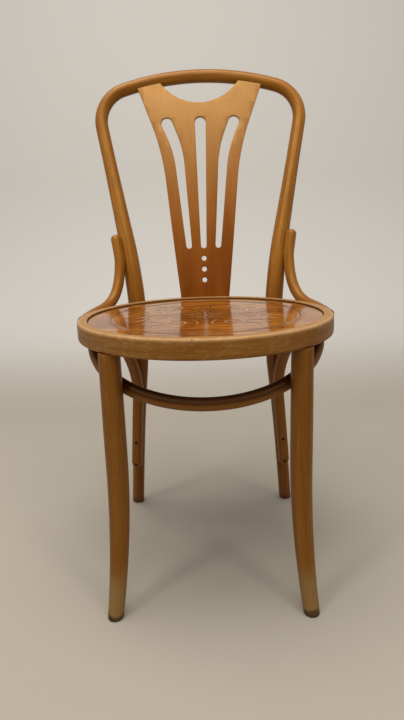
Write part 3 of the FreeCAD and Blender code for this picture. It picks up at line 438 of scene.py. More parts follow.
def legLine():
    s = frontLegs
    heights = np.linspace(0.0, underRing, 120)
    bend = (s["bendHeight"] ** 2 + s["kick"] ** 2) / (2 * s["kick"])
    drop = np.maximum(s["bendHeight"] - heights, 0.0)
    kick = bend - np.sqrt(bend ** 2 - drop ** 2)
    return legMiddle + up * heights[:, None] + legOut * kick[:, None]


print("front legs")
legShape = sweptBar(
    legLine(), legOut,
    lambda place, along, drawn: circle(legWidth(place[2]) / 2 - drawn, thickAround),
    (frontLegs["footRound"], frontLegs["topRound"]), level=(True, True))
legs = makePair("turnedLeg", legShape, "front_leg")

# Front bow: half an ellipse on a slope, against the backs of the front legs
frontBow = {
    "halfSpread": 0.187, "depth": 0.1685, "tilt": 26.5, "drop": 0.003, "rod": 0.021,
    "endRound": 0.001, "gap": 0.00005,
}


def bowLine():
    s = frontBow
    turn, tilt = np.linspace(0.0, math.pi, 160), math.radians(s["tilt"])
    forward = s["depth"] * np.sin(turn)
    return np.stack([
        s["halfSpread"] * np.cos(turn), seatMiddle - forward * math.cos(tilt),
        underRing - s["drop"] - forward * math.sin(tilt)], 1)


def buildBow():
    s = frontBow
    points, faces, grain = sweptBar(
        bowLine(), (0, 0, 1), lambda place, along, drawn: circle(s["rod"] / 2 - drawn, thinAround),
        (s["endRound"], s["endRound"]))
    points[:, 2] = np.minimum(points[:, 2], underRing - s["gap"])
    return bored((points, faces, grain), headSeats("bowToLeg", "bowToRing"))


print("front bow")
bow = makePiece("bentBow", *buildBow(), "front_bow")

# Side brackets: down each post, round an open bend and forward along the ring
sideBracket = {
    "rod": 0.020, "top": 0.586, "leave": 0.540, "side": 44.0, "meet": 29.0, "end": 11.0,
    "meetDrop": 0.006, "endDrop": 0.017, "pull": 0.048, "flat": 0.0008, "endRound": 0.004,
    "topRound": 0.0085,
}


def postMiddle(height):
    outline = hoopOutline()
    climb = outline[:, 1] < backFrame["sideTop"]
    across = np.interp(height, outline[climb, 1], outline[climb, 0])
    return np.stack([across, postDepth(height), height + 0 * across], -1)


def bracketLine():
    s = sideBracket
    offset = s["rod"] / 2 - s["flat"]
    heights = np.linspace(s["top"], s["leave"], 10)
    side = math.radians(s["side"])
    out = np.array([math.cos(side), -math.sin(side), 0.0])
    onPost = postMiddle(heights) + out * (postWidth(heights) / 2 + offset)[:, None]
    share = np.linspace(0.0, 1.0, 16)
    turns = np.radians(s["meet"] + share * (s["end"] - s["meet"]))
    onRing = besideRing(turns, offset, seatRing["top"] - s["meetDrop"] - share * (
        s["endDrop"] - s["meetDrop"]))
    lean = math.radians(backFrame["recline"])
    down = unit(np.array([0.0, -math.tan(lean), -1.0])) * s["pull"]
    forward = unit(onRing[1] - onRing[0]) * s["pull"]
    bend = bezier(onPost[-1], onPost[-1] + down, onRing[0] - forward, onRing[0], 40)
    return np.concatenate([onPost, bend[1:-1], onRing])


print("side brackets")
bracketShape = sweptBar(
    bracketLine(), (1, 0, 0),
    lambda place, along, drawn: circle(sideBracket["rod"] / 2 - drawn, thinAround),
    (sideBracket["topRound"], sideBracket["endRound"]), step=0.004)
bracketShape = (offRing(bracketShape[0]),) + bracketShape[1:]
brackets = makePair("sideBracket", bracketShape, "arm_bracket")

# Rear brackets: half-round strips up the rear legs and forward to the ring
rearBracket = {
    "width": 0.0205, "thick": 0.013, "round": 0.0045, "foot": 0.100, "leave": 0.262,
    "end": 27.0, "turn": 7.0, "rise": 50.0, "pull": 0.070, "flat": 0.0015,
    "backRound": 0.0006, "tip": 0.0013, "drawIn": 0.0008, "footRound": 0.009, "topRound": 0.0002,
    "gap": 0.0001,
}


def stripLine():
    s = rearBracket
    heights = np.linspace(s["foot"], s["leave"], 24)
    turn = math.radians(s["turn"])
    out = np.array([math.sin(turn), -math.cos(turn), 0.0])
    reach = postWidth(heights) / 2 + s["thick"] / 2 - s["flat"]
    onLeg = postMiddle(heights) + out * reach[:, None]
    place = math.radians(s["end"])
    end = np.array([ringMidY * stretch * math.cos(place),
                    seatMiddle + ringMidY * math.sin(place), underRing - s["gap"]])
    forward = unit((end - onLeg[-1]) * [1, 1, 0])
    rise = math.radians(s["rise"])
    arrive = forward * math.cos(rise) + up * math.sin(rise)
    rising = unit(onLeg[-1] - onLeg[-2])
    bend = bezier(onLeg[-1], onLeg[-1] + rising * s["pull"], end - arrive * s["pull"], end, 40)
    return np.concatenate([onLeg, bend[1:]]), forward


def stripSection(place, along, drawn):
    # The strip's foot is half round, and its front edges are rounded all the way.
    s = rearBracket
    gone = max(s["width"] / 2 - along, 0.0)
    half = math.sqrt(max((s["width"] / 2) ** 2 - gone ** 2, s["tip"] ** 2))
    front = s["thick"] / 2 - min(drawn, s["drawIn"])
    edge, back = min(s["round"], half * 0.95), s["backRound"]
    return roundedProfile([
        (-front, half, back), (-front, -half, back), (front, -half, edge), (front, half, edge)])


print("rear brackets")
stripRun, stripForward = stripLine()
stripShape = sweptBar(
    stripRun, stripForward, stripSection, (rearBracket["footRound"], rearBracket["topRound"]),
    step=0.003, level=(False, True))
stripShape = bored(stripShape, headSeats("stripLow", "stripHigh", "stripToRing", sides=False))
strips = makePair("rearStrip", stripShape, "rear_bracket")

# Splat: a pierced board of moulded plywood, upright at its foot and leaning above
splatBoard = {
    "thick": 0.006, "foot": 0.433, "footWidth": 0.091, "topWidth": 0.242, "waistWidth": 0.152,
    "waist": 0.741, "flare": 0.447, "knee": 0.542, "kneeRadius": 0.700, "let": 0.005,
    "forward": 0.008, "footY": 0.2010 + seatMiddle, "handRadius": 0.094, "handDepth": 0.052,
    "edge": 0.0009, "rows": 0.008, "columns": 0.012, "firstRow": 0.006, "halfReach": 0.12,
}
slots = {
    "low": 0.560, "high": 0.7935, "bend": 0.743, "lowOut": 0.0288, "bendOut": 0.0444,
    "highOut": 0.0656, "lowWidth": 0.011, "highWidth": 0.0215, "radius": 0.200,
    "eye": 0.0095, "eyePitch": 0.021, "eyeDrop": 0.025,
}


def fanOutline():
    s = splatBoard
    top = backFrame["top"] - backFrame["rod"] / 2
    crownZ = top - backFrame["crownRadius"]
    radius = backFrame["crownRadius"] - backFrame["rod"] / 2 + s["let"]
    tipX = s["topWidth"] / 2
    tip = np.array([tipX, crownZ + math.sqrt(radius ** 2 - tipX ** 2)])
    foot = np.array([s["footWidth"] / 2, s["foot"]])
    side = filleted(foot, (s["waistWidth"] / 2, s["waist"]), tip, s["flare"])
    handZ = top - s["handDepth"] + s["handRadius"]
    # where the hand hold's circle meets the top edge
    gap = handZ - crownZ
    meetZ = crownZ + (gap ** 2 + radius ** 2 - s["handRadius"] ** 2) / (2 * gap)
    meetX = math.sqrt(radius ** 2 - (meetZ - crownZ) ** 2)
    edge = arcPoints((0, crownZ), radius, math.atan2(tip[1] - crownZ, tip[0]),
                     math.atan2(meetZ - crownZ, meetX), 14)
    start = math.atan2(meetZ - handZ, meetX)
    hold = arcPoints((0, handZ), s["handRadius"], start, -math.pi / 2, 32)
    half = np.concatenate([foot[None], side, edge, hold[1:]])
    return np.concatenate([half, (half * [-1, 1])[::-1][1:]])


def slotOutline(stations, radius):
    # Stations are (x, z, half width), with a fillet of the given radius at the bend.
    points = np.array([station[:2] for station in stations])
    widths = np.array([station[2] for station in stations])
    ways = unit(np.diff(points, axis=0))
    turns = unit(np.concatenate([ways[:1], ways[:-1] + ways[1:], ways[-1:]]))
    across = np.stack([turns[:, 1], -turns[:, 0]], 1) * widths[:, None]
    right, left = points + across, (points - across)[::-1]
    if len(points) == 3:
        right, left = (np.concatenate([side[:1], filleted(*side, radius), side[2:]])
                       for side in (right, left))
    turn = np.linspace(0.0, math.pi, 17)[1:-1]

    def cap(centre, way, width):
        normal = np.array([way[1], -way[0]])
        return centre + width * (normal * np.cos(turn)[:, None] + way * np.sin(turn)[:, None])

    return np.concatenate([
        right, cap(points[-1], ways[-1], widths[-1]), left, cap(points[0], -ways[0], widths[0])])


def slotOutlines():
    s = slots
    low, bend, high = ((s["lowOut"], s["low"]), (s["bendOut"], s["bend"]), (s["highOut"], s["high"]))
    reach = [math.dist(low, bend), math.dist(bend, high)]
    middle = (s["lowWidth"] + (s["highWidth"] - s["lowWidth"]) * reach[0] / sum(reach)) / 2
    right = slotOutline([
        low + (s["lowWidth"] / 2,), bend + (middle,), high + (s["highWidth"] / 2,)], s["radius"])
    centre = slotOutline([(0, s["low"], s["lowWidth"] / 2), (0, s["high"], s["highWidth"] / 2)], 0)
    eyes = [arcPoints((0, s["low"] - s["eyeDrop"] - s["eyePitch"] * number), s["eye"] / 2,
                      0, 2 * math.pi, 33)[:-1] for number in range(3)]
    return [right, (right * [-1, 1])[::-1], centre] + eyes


def boardLean():
    # The lean of the board's upper part, so that its top meets the rod.
    s = splatBoard
    top = backFrame["top"] - backFrame["rod"] / 2
    topY = float(postDepth(np.array(top))) - s["forward"]
    return math.atan2(topY - s["footY"], top - s["knee"])


def bentBoard(heights, offsets):
    # The board's own middle surface at a height, then out along its normal.
    s, lean = splatBoard, boardLean()
    reach = s["kneeRadius"] * math.tan(lean / 2)
    low = s["knee"] - reach
    turn = np.arcsin(np.clip((heights - low) / s["kneeRadius"], 0.0, math.sin(lean)))
    depth = s["kneeRadius"] * (1 - np.cos(turn)) + np.maximum(
        heights - low - s["kneeRadius"] * math.sin(lean), 0.0) * math.tan(lean)
    return s["footY"] + depth + offsets * np.cos(turn), heights - offsets * np.sin(turn)


def buildSplat():
    s = splatBoard
    curve = bpy.data.curves.new("splatOutline", "CURVE")
    curve.dimensions, curve.fill_mode = "2D", "BOTH"
    curve.extrude = s["thick"] / 2 - s["edge"]
    curve.bevel_depth, curve.bevel_resolution, curve.offset = s["edge"], 2, -s["edge"]
    for outline in [fanOutline()] + slotOutlines():
        spline = curve.splines.new("POLY")
        spline.points.add(len(outline) - 1)
        spline.use_cyclic_u = True
        spline.points.foreach_set(
            "co", np.column_stack([outline, np.zeros(len(outline)), np.ones(len(outline))]).ravel())
    holder = bpy.data.objects.new("splatHolder", curve)
    scene.collection.objects.link(holder)
    bpy.context.view_layer.update()
    flat = bpy.data.meshes.new_from_object(holder.evaluated_get(
        bpy.context.evaluated_depsgraph_get()))
    bpy.data.objects.remove(holder)
    work = bmesh.new()
    work.from_mesh(flat)
    bmesh.ops.remove_doubles(work, verts=work.verts, dist=1e-6)
    # rows and columns of edges, so that the board can bend and take its grain
    rows = np.arange(s["foot"] + s["firstRow"], backFrame["top"], s["rows"])
    columns = np.arange(-s["halfReach"], s["halfReach"] + s["edge"], s["columns"])
    cuts = [((0, row, 0), (0, 1, 0)) for row in rows] + [((x, 0, 0), (1, 0, 0)) for x in columns]
    for place, way in cuts:
        bmesh.ops.bisect_plane(
            work, geom=work.verts[:] + work.edges[:] + work.faces[:], plane_co=place,
            plane_no=way, dist=1e-6)
    bmesh.ops.recalc_face_normals(work, faces=work.faces[:])
    work.to_mesh(flat)
    work.free()
    flatPoints = np.array([vertex.co for vertex in flat.vertices])
    faces = [tuple(polygon.vertices) for polygon in flat.polygons]
    depth, height = bentBoard(flatPoints[:, 1], -flatPoints[:, 2])
    points = np.stack([flatPoints[:, 0], depth, height], 1)
    grain = np.stack([flatPoints[:, 1], flatPoints[:, 0], flatPoints[:, 2]], 1)
    bpy.data.meshes.remove(flat)
    return bored((points, faces, grain), headSeats("splatFoot"))


print("splat")
splat = makePiece("fanSplat", *buildSplat(), "back_splat")

# Seat panel: a plywood sheet with an ornament pressed into it
seatPanel = {
    "halfWidth": 0.1940, "halfDepth": 0.1862, "top": 0.457, "bottom": 0.452, "edge": 0.001,
    "rings": 150, "spokes": 560, "hub": 0.004, "depth": 0.0005,
}
# A palmette with scrolls and leaves on each side, inside a plain double border.
seatOrnament = {
    "petals": ((0, 0.056), (24, 0.051), (48, 0.043), (72, 0.034)),  # degrees and reach
    "petalStart": 0.010, "petalWidth": 0.0052, "petalBow": 0.0014,
    "sepals": (122, 152, 180), "sepalStart": 0.008, "sepalReach": 0.032, "sepalWidth": 0.0044,
    "scrolls": (  # centre, start in radians, whole turns, inner and outer radius, width
        ((0.070, -0.010), 2.6, -1.40, 0.004, 0.027, 0.0036),
        ((0.108, 0.036), -2.3, 1.30, 0.003, 0.020, 0.0030),
        ((0.046, -0.066), 1.2, 1.25, 0.003, 0.018, 0.0030),
        ((0.050, 0.084), -1.9, 1.25, 0.003, 0.018, 0.0030)),
    "leaves": (  # base, tip, width and bow
        ((0.018, -0.012), (0.044, 0.016), 0.0046, 0.18),
        ((0.094, 0.006), (0.134, -0.012), 0.0054, -0.20),
        ((0.092, -0.014), (0.128, -0.044), 0.0052, -0.20),
        ((0.076, 0.030), (0.088, 0.072), 0.0052, 0.22),
        ((0.058, 0.034), (0.056, 0.060), 0.0040, 0.10),
        ((0.022, -0.038), (0.016, -0.086), 0.0048, -0.16),
        ((0.064, -0.060), (0.104, -0.072), 0.0050, 0.20),
        ((0.062, -0.078), (0.082, -0.108), 0.0044, 0.20),
        ((0.026, 0.066), (0.014, 0.108), 0.0044, 0.16),
        ((0.068, 0.094), (0.092, 0.100), 0.0040, -0.20)),
    "borders": ((0.1500, 0.0013), (0.1555, 0.0007)),  # radius and half width
    "borderStretch": 1.04, "spacing": 0.0007,
}


def stroke(points, widths):
    # One pressed line: points and half widths, densely sampled.
    lengths = arcLengths(points)
    along = np.linspace(0.0, lengths[-1], max(int(lengths[-1] / seatOrnament["spacing"]), 8))
    return placed(points, along), np.interp(along, lengths, widths)


def curl(centre, start, turns, inner, outer, width):
    # A scroll that winds in towards its centre.
    turn = np.linspace(0.0, 1.0, 90)
    angle = start + turns * 2 * math.pi * turn
    radius = outer + (inner - outer) * turn ** 0.85
    points = np.stack([centre[0] + radius * np.cos(angle), centre[1] + radius * np.sin(angle)], 1)
    return stroke(points, width * (0.55 + 0.45 * np.sin(math.pi * np.clip(turn * 1.1, 0, 1))))


def leaf(base, tip, width, bow):
    # A long leaf, bowed to one side.
    base, tip = np.array(base), np.array(tip)
    turn = np.linspace(0.0, 1.0, 40)[:, None]
    side = np.array([-(tip - base)[1], (tip - base)[0]])
    points = base + (tip - base) * turn + side * bow * np.sin(math.pi * turn)
    return stroke(points, width * np.sin(math.pi * turn[:, 0] ** 0.75) + 0.0003)


def spray(turn, start, reach, width, bow):
    # A leaf that points away from the seat's middle.
    way = np.array([math.sin(math.radians(turn)), math.cos(math.radians(turn))])
    return leaf(way * start, way * reach, width, bow)


def ornament():
    s = seatOrnament
    strokes = [spray(turn, s["petalStart"], reach, s["petalWidth"], s["petalBow"] * turn)
               for turn, reach in s["petals"]]
    strokes += [spray(turn, s["sepalStart"], s["sepalReach"], s["sepalWidth"], 0.0)
                for turn in s["sepals"]]
    strokes += [curl(*scroll) for scroll in s["scrolls"]] + [leaf(*shape) for shape in s["leaves"]]
    strokes += [(points * [-1, 1], widths) for points, widths in strokes]
    turn = np.linspace(0.0, 2 * math.pi, 1400)
    for radius, width in s["borders"]:
        oval = np.stack([radius * s["borderStretch"] * np.cos(turn), radius * np.sin(turn)], 1)
        strokes.append(stroke(oval, np.full(len(turn), width)))
    return strokes


def pressedDepth(x, y):
    # How far each place is pressed in, from 0 to 1.
    depth = np.zeros(len(x))
    place = np.stack([x, y], 1)
    margin, chunkSize = 0.005, 4000
    for points, widths in ornament():
        inside = (place > points.min(0) - margin) & (place < points.max(0) + margin)
        near = np.where(np.all(inside, axis=1))[0]
        for chunk in np.array_split(near, max(len(near) // chunkSize, 1)):
            gap = np.linalg.norm(place[chunk, None] - points[None], axis=2) / widths
            depth[chunk] = np.maximum(depth[chunk], 1 - ease(0.25, 1.15, gap.min(1)))
    return depth


def buildPanel():
    s = seatPanel
    spokes = np.linspace(0.0, 2 * math.pi, s["spokes"], endpoint=False)
    edge = s["edge"] / s["halfDepth"]
    rings = [(share, s["top"]) for share in np.linspace(s["hub"], 1 - edge, s["rings"])]
    for turn in np.linspace(0.2, 1.0, 5) * math.pi / 2:
        rings.append((1 - edge * (1 - math.sin(turn)), s["top"] - s["edge"] * (1 - math.cos(turn))))
    rings += [(1.0, s["bottom"]), (0.5, s["bottom"]), (s["hub"], s["bottom"])]
    points = np.concatenate([
        np.stack([share * s["halfWidth"] * np.cos(spokes), share * s["halfDepth"] * np.sin(spokes),
                  np.full(len(spokes), height)], 1) for share, height in rings])
    faces = [tuple(reversed(face)) for face in ringFaces(len(rings), len(spokes), False)]
    faces.append(tuple(range(len(spokes))))
    faces.append(tuple(reversed(range(len(points) - len(spokes), len(points)))))
    onTop = points[:, 2] > s["top"] - 1e-6
    press = np.zeros(len(points))
    press[onTop] = pressedDepth(points[onTop, 0], points[onTop, 1])
    points[:, 2] -= press * s["depth"]
    grain = points.copy()
    points[:, 1] += seatMiddle
    return points, faces, grain, press


print("seat panel")
panelPoints, panelFaces, panelGrain, panelPress = buildPanel()
panel = makePiece("pressedPanel", panelPoints, panelFaces, panelGrain, "seat_panel", panelPress)


# Shader maths
class Wire:
    # One output of a node. Arithmetic on it adds Math nodes.
    def __init__(self, finish, socket):
        self.finish = finish
        self.socket = socket

    def __add__(self, other):
        return self.finish.maths("ADD", self, other)

    __radd__ = __add__

    def __sub__(self, other):
        return self.finish.maths("SUBTRACT", self, other)

    def __rsub__(self, other):
        return self.finish.maths("SUBTRACT", other, self)

    def __mul__(self, other):
        return self.finish.maths("MULTIPLY", self, other)

    __rmul__ = __mul__

    def __abs__(self):
        return self.finish.maths("ABSOLUTE", self)

    def clipped(self):
        return self.finish.maths("ADD", self, 0.0, clamp=True)

    def eased(self, low, high):
        return self.finish.add(
            "MapRange", {"interpolation_type": "SMOOTHSTEP"}, Value=self, From_Min=low, From_Max=high)


class Finish:
    # One material, with a method that adds any node.
    def __init__(self, name):
        self.material = bpy.data.materials.new(name)
        self.material.use_nodes = True
        self.tree = self.material.node_tree
        self.tree.nodes.clear()
        surface = self.add("BsdfPrincipled")
        self.shader = surface.socket.node
        self.add("OutputMaterial", None, surface)

    def add(self, kind, settings=None, *values, out=0, **named):
        # The settings are set first, then the sockets, by order or by name.
        node = self.tree.nodes.new("ShaderNode" + kind)
        for key, value in (settings or {}).items():
            setattr(node, key, value)
        for number, value in enumerate(values):
            self.feed(node.inputs[number], value)
        for key, value in named.items():
            self.feed(node.inputs[key.replace("_", " ")], value)
        return Wire(self, node.outputs[out]) if len(node.outputs) else None

    def feed(self, socket, value):
        # None leaves a socket as it is.
        if isinstance(value, Wire):
            self.tree.links.new(value.socket, socket)
        elif value is not None:
            socket.default_value = (*value, 1.0) if socket.type == "RGBA" else value

    def maths(self, operation, *values, clamp=False):
        return self.add("Math", {"operation": operation, "use_clamp": clamp}, *values)

    def mix(self, share, first, second, kind="MIX"):
        # The colours are the node's seventh and eighth sockets, and their mix its third output.
        between = [None] * 5
        return self.add("Mix", {"data_type": "RGBA", "blend_type": kind}, share, *between,
                        first, second, out=2)

    def spot(self):
        # The place in the chair's own frame, in metres.
        return self.add("TexCoord", out="Object")

    def kept(self, name, out):
        # A value kept on the mesh's points.
        return self.add("Attribute", {"attribute_name": name}, out=out)

    def stretched(self, place, scale):
        return self.add("VectorMath", {"operation": "MULTIPLY"}, place, scale)

    def noise(self, place, scale, detail=3.0, rough=0.5, warp=0.0):
        # One scale, or one for each axis.
        scales = np.broadcast_to(scale, 3).tolist()
        return self.add("TexNoise", None, Vector=self.stretched(place, scales), Scale=1.0,
                        Detail=detail, Roughness=rough, Distortion=warp)

    def part(self, place, axis):
        return self.add("SeparateXYZ", None, place, out=axis)

    def bump(self, strength, depth, relief):
        return self.add("Bump", None, Strength=strength, Distance=depth, Height=relief)

    def constant(self, **values):
        for key, value in values.items():
            self.feed(self.shader.inputs[key.replace("_", " ")], value)

    def dress(self, *pieces):
        for piece in pieces:
            piece.data.materials.clear()
            piece.data.materials.append(self.material)


varnishTint = (1.0, 0.64, 0.28)
grime, creviceDirtAndShade = (0.028, 0.018, 0.009), (0.020, 0.009, 0.004)
woodLooks = {
    "hoop": {
        "dark": (0.185, 0.064, 0.006), "light": (0.345, 0.145, 0.020), "warm": (0.240, 0.080, 0.006),
        "deep": (0.060, 0.020, 0.006), "blotch": 0.5, "grain": 0.35, "fleck": 0.5, "nick": 0.6,
        "rough": 0.27, "shine": 0.42, "bump": 0.35, "foot": (0.160, 0.090, 0.030),
        "footHeight": 0.035, "rear": (0.165, 0.045, 0.005), "rearHeight": 0.50},
    "leg": {
        "dark": (0.180, 0.064, 0.008), "light": (0.235, 0.092, 0.014), "warm": (0.205, 0.068, 0.007),
        "deep": (0.055, 0.018, 0.006), "blotch": 0.5, "grain": 0.35, "fleck": 0.55, "nick": 0.7,
        "rough": 0.38, "shine": 0.40, "bump": 0.35, "foot": (0.230, 0.140, 0.050),
        "footHeight": 0.080},
    "ring": {
        "dark": (0.205, 0.078, 0.013), "light": (0.310, 0.145, 0.032), "warm": (0.235, 0.086, 0.012),
        "deep": (0.060, 0.022, 0.007), "blotch": 0.8, "grain": 0.45, "fleck": 0.85, "nick": 0.9,
        "rough": 0.42, "shine": 0.35, "bump": 0.45, "worn": (0.440, 0.265, 0.120),
        "dents": [((-0.0175, -0.2520, 0.4590), 0.0022), ((-0.0080, -0.2536, 0.4425), 0.0012),
                  ((0.0125, -0.2535, 0.4345), 0.0011), ((0.0960, -0.2315, 0.4350), 0.0013),
                  ((-0.1030, -0.2280, 0.4480), 0.0012), ((0.0420, -0.2505, 0.4585), 0.0011)]},
    # The bow's colours are painted much darker than the other woods': painted shade from the seat
    # above it.
    "bow": {
        "dark": (0.030, 0.008, 0.003), "light": (0.070, 0.019, 0.006), "warm": (0.045, 0.011, 0.003),
        "deep": (0.020, 0.006, 0.003), "blotch": 0.5, "grain": 0.30, "fleck": 0.4, "nick": 0.5,
        "rough": 0.42, "shine": 0.30, "bump": 0.35, "under": (0.210, 0.080, 0.015)},
}
woodLooks["bracket"] = {**woodLooks["hoop"], "end": arcLengths(bracketLine())[-1]}


def wornFoot(finish, look, colour, spot, height, fine):
    # Bare wood low on a leg, darker at the very bottom, and dark specks.
    stains = finish.noise(spot, (34.0, 34.0, 26.0), 3.0, 0.6)
    bare = (look["footHeight"] + fine * 0.03 - height).eased(0.0, 0.050) * (0.45 + stains * 0.8)
    colour = finish.mix(bare.clipped(), colour, look["foot"])
    darkBottom = (stains * 0.030 - height).eased(0.0, 0.008)
    specks = fine.eased(0.60, 0.68) * (0.075 - height).eased(0.0, 0.05)
    return finish.mix((darkBottom * 0.85 + specks * 0.5).clipped(), colour, grime)


def wornRing(finish, look, colour, spot, place, fine):
    # Pale wear on the top edge and in dry patches, and dirt with painted shade where the panel meets
    # the ring.
    top, ledge = seatRing["top"], seatRing["ledge"]
    inward, level = finish.part(place, "Y"), finish.part(place, "Z")
    edge = (level - inward).eased(top - 0.0062, top - 0.0020)
    above = level.eased(top - 0.0022, top - 0.0002)
    dry = finish.noise(spot, (48.0, 48.0, 70.0), 4.0, 0.7, 0.8).eased(0.50, 0.72)
    bare = (edge * 0.60 + above * 0.35) * (0.30 + fine * 1.2) + dry * 0.30
    colour = finish.mix(bare.clipped(), colour, look["worn"])
    # dirt and painted shade in the corner between the ring's inner wall and its ledge
    corner = inward.eased(0.0150, 0.0162) * level.eased(ledge - 0.0005, ledge + 0.0005)
    return finish.mix(corner * 0.9, colour, creviceDirtAndShade)


def stainedWood(name, look):
    # Varnished beech: streaks, fine grain and flecks along the bar, worn and grubby places.
    finish = Finish(name)
    spot, place = finish.spot(), finish.kept("grainPlace", "Vector")
    height = finish.part(spot, "Z")
    streaks = finish.noise(place, (3.0, 95.0, 95.0), 4.0, 0.6, 0.4)
    grain = finish.noise(place, (22.0, 900.0, 900.0), 3.0, 0.65)
    flecks = finish.noise(place, (150.0, 1500.0, 1500.0), 1.0).eased(0.63, 0.72)
    blotches = finish.noise(spot, (13.0, 13.0, 9.0), 3.0, 0.55)
    fine = finish.noise(spot, 60.0, 4.0, 0.6)
    colour = finish.mix(streaks.eased(0.3, 0.72), look["dark"], look["light"])
    colour = finish.mix(blotches.eased(0.38, 0.75) * look["blotch"], colour, look["warm"])
    colour = finish.mix(grain.eased(0.35, 0.75) * look["grain"], colour, look["dark"], "MULTIPLY")
    colour = finish.mix(flecks * look["fleck"], colour, look["deep"])
    if "foot" in look:
        colour = wornFoot(finish, look, colour, spot, height, fine)
    if "worn" in look:
        colour = wornRing(finish, look, colour, spot, place, fine)
    # painted light and shade: the bow's lower side, lit from the floor, is painted paler, over more of
    # the rod towards its ends
    if "under" in look:  # paler below, and all round towards the bow's ends
        outside = abs(finish.part(spot, "X")).eased(0.12, 0.17)
        litUnderside = (fine * 0.002 + outside * 0.008 - finish.part(place, "Y")).eased(-0.0035, 0.0045)
        colour = finish.mix(litUnderside * 0.9, colour, look["under"])
    if "end" in look:  # dark end grain
        along = finish.part(place, "X")
        sawn = along.eased(look["end"] - 0.0035, look["end"] - 0.0015)
        colour = finish.mix(sawn * 0.8, colour, look["deep"])
    # painted shade: parts below the seat are painted darker and redder, standing for the shade the
    # seat casts on them
    if "rear" in look:  # redder below the seat
        shaded = (look["rearHeight"] - height + streaks * 0.08).eased(0.0, 0.14)
        colour = finish.mix(shaded * 0.6, colour, look["rear"])
    nicks = finish.noise(spot, (170.0, 170.0, 230.0), 2.0).eased(0.735, 0.77)
    for centre, reach in look.get("dents", ()):
        gap = finish.add("VectorMath", {"operation": "DISTANCE"}, spot, centre, out="Value")
        dent = 1.0 - (gap + fine * 0.002).eased(reach * 0.7, reach * 1.4)
        nicks = finish.maths("MAXIMUM", nicks, dent)
    colour = finish.mix(nicks * look["nick"], colour, look["deep"])
    gloss = finish.noise(spot, 38.0, 3.0, 0.6)
    rough = look["rough"] + (gloss - 0.5) * 0.18 + grain * 0.05
    if "foot" in look:
        rough = rough + (look["footHeight"] - height).eased(0.0, 0.06) * 0.18
    wavy = finish.noise(spot, 26.0, 2.0)
    relief = grain * 0.10 - flecks * 0.25 - nicks * 0.6 + wavy * 0.9
    finish.constant(
        Base_Color=colour, Roughness=rough.clipped(), Normal=finish.bump(look["bump"], 0.0006, relief),
        Specular_Tint=varnishTint, Specular_IOR_Level=look["shine"])
    return finish


splatLook = {
    "dark": (0.185, 0.046, 0.004), "light": (0.250, 0.074, 0.007), "paintedSheen": (0.400, 0.205, 0.062),
    "fade": 0.78, "fadeFrom": 0.56, "fadeTo": 0.88, "fine": (0.20, 0.07, 0.02), "grain": 0.16,
    "deep": (0.050, 0.014, 0.005), "fleck": 0.30, "glue": (0.026, 0.009, 0.003),
    "shadedPly": (0.055, 0.021, 0.007), "plyWaves": 2600.0, "rough": 0.24, "shine": 0.5, "bump": 0.3,
}


def plySplat(look):
    # Red-brown stained veneer, its grain up the board, paler above as a painted sheen, with layers on
    # the sawn edges darkened further as painted shade.
    finish = Finish("stainedSplat")
    spot, place = finish.spot(), finish.kept("grainPlace", "Vector")
    streaks = finish.noise(place, (2.6, 26.0, 20.0), 3.0, 0.5, 0.6)
    grain = finish.noise(place, (18.0, 620.0, 200.0), 3.0, 0.65)
    flecks = finish.noise(place, (130.0, 1300.0, 300.0), 1.0).eased(0.64, 0.72)
    colour = finish.mix(streaks.eased(0.3, 0.7), look["dark"], look["light"])
    # painted sheen: the board's upper, leaning part is painted paler, as if lit by the lamps above
    paintedSheen = (finish.part(spot, "Z") + streaks * 0.05).eased(look["fadeFrom"], look["fadeTo"])
    colour = finish.mix(paintedSheen * look["fade"], colour, look["paintedSheen"])
    colour = finish.mix(grain.eased(0.35, 0.75) * look["grain"], colour, look["fine"], "MULTIPLY")
    colour = finish.mix(flecks * look["fleck"], colour, look["deep"])
    # The sawn edges show ply layers and glue lines, painted darker than bare plies as painted shade
    across = finish.part(place, "Z")
    layers = finish.maths("SINE", across * look["plyWaves"]).eased(-0.4, 0.4)
    sawn = finish.mix(layers, look["glue"], look["shadedPly"])
    colour = finish.mix(1.0 - abs(across).eased(0.0022, 0.0028), colour, sawn)
    gloss = finish.noise(spot, 30.0, 3.0, 0.6)
    wavy = finish.noise(spot, (20.0, 20.0, 12.0), 2.0)
    relief = grain * 0.10 - flecks * 0.25 + wavy
    finish.constant(
        Base_Color=colour, Roughness=(look["rough"] + (gloss - 0.5) * 0.20).clipped(),
        Normal=finish.bump(look["bump"], 0.0006, relief), Specular_Tint=varnishTint,
        Specular_IOR_Level=look["shine"])
    return finish


seatLook = {
    "dark": (0.190, 0.052, 0.006), "light": (0.400, 0.150, 0.020), "figure": (0.110, 0.027, 0.004),
    "fine": (0.25, 0.10, 0.03), "line": (0.034, 0.010, 0.003), "leaf": (0.520, 0.235, 0.045),
    "middle": (0.085, 0.026, 0.006), "rim": (0.030, 0.012, 0.004), "rough": 0.13, "shine": 0.6,
    "bump": 0.22, "coat": 0.12, "coatRough": 0.06,
}


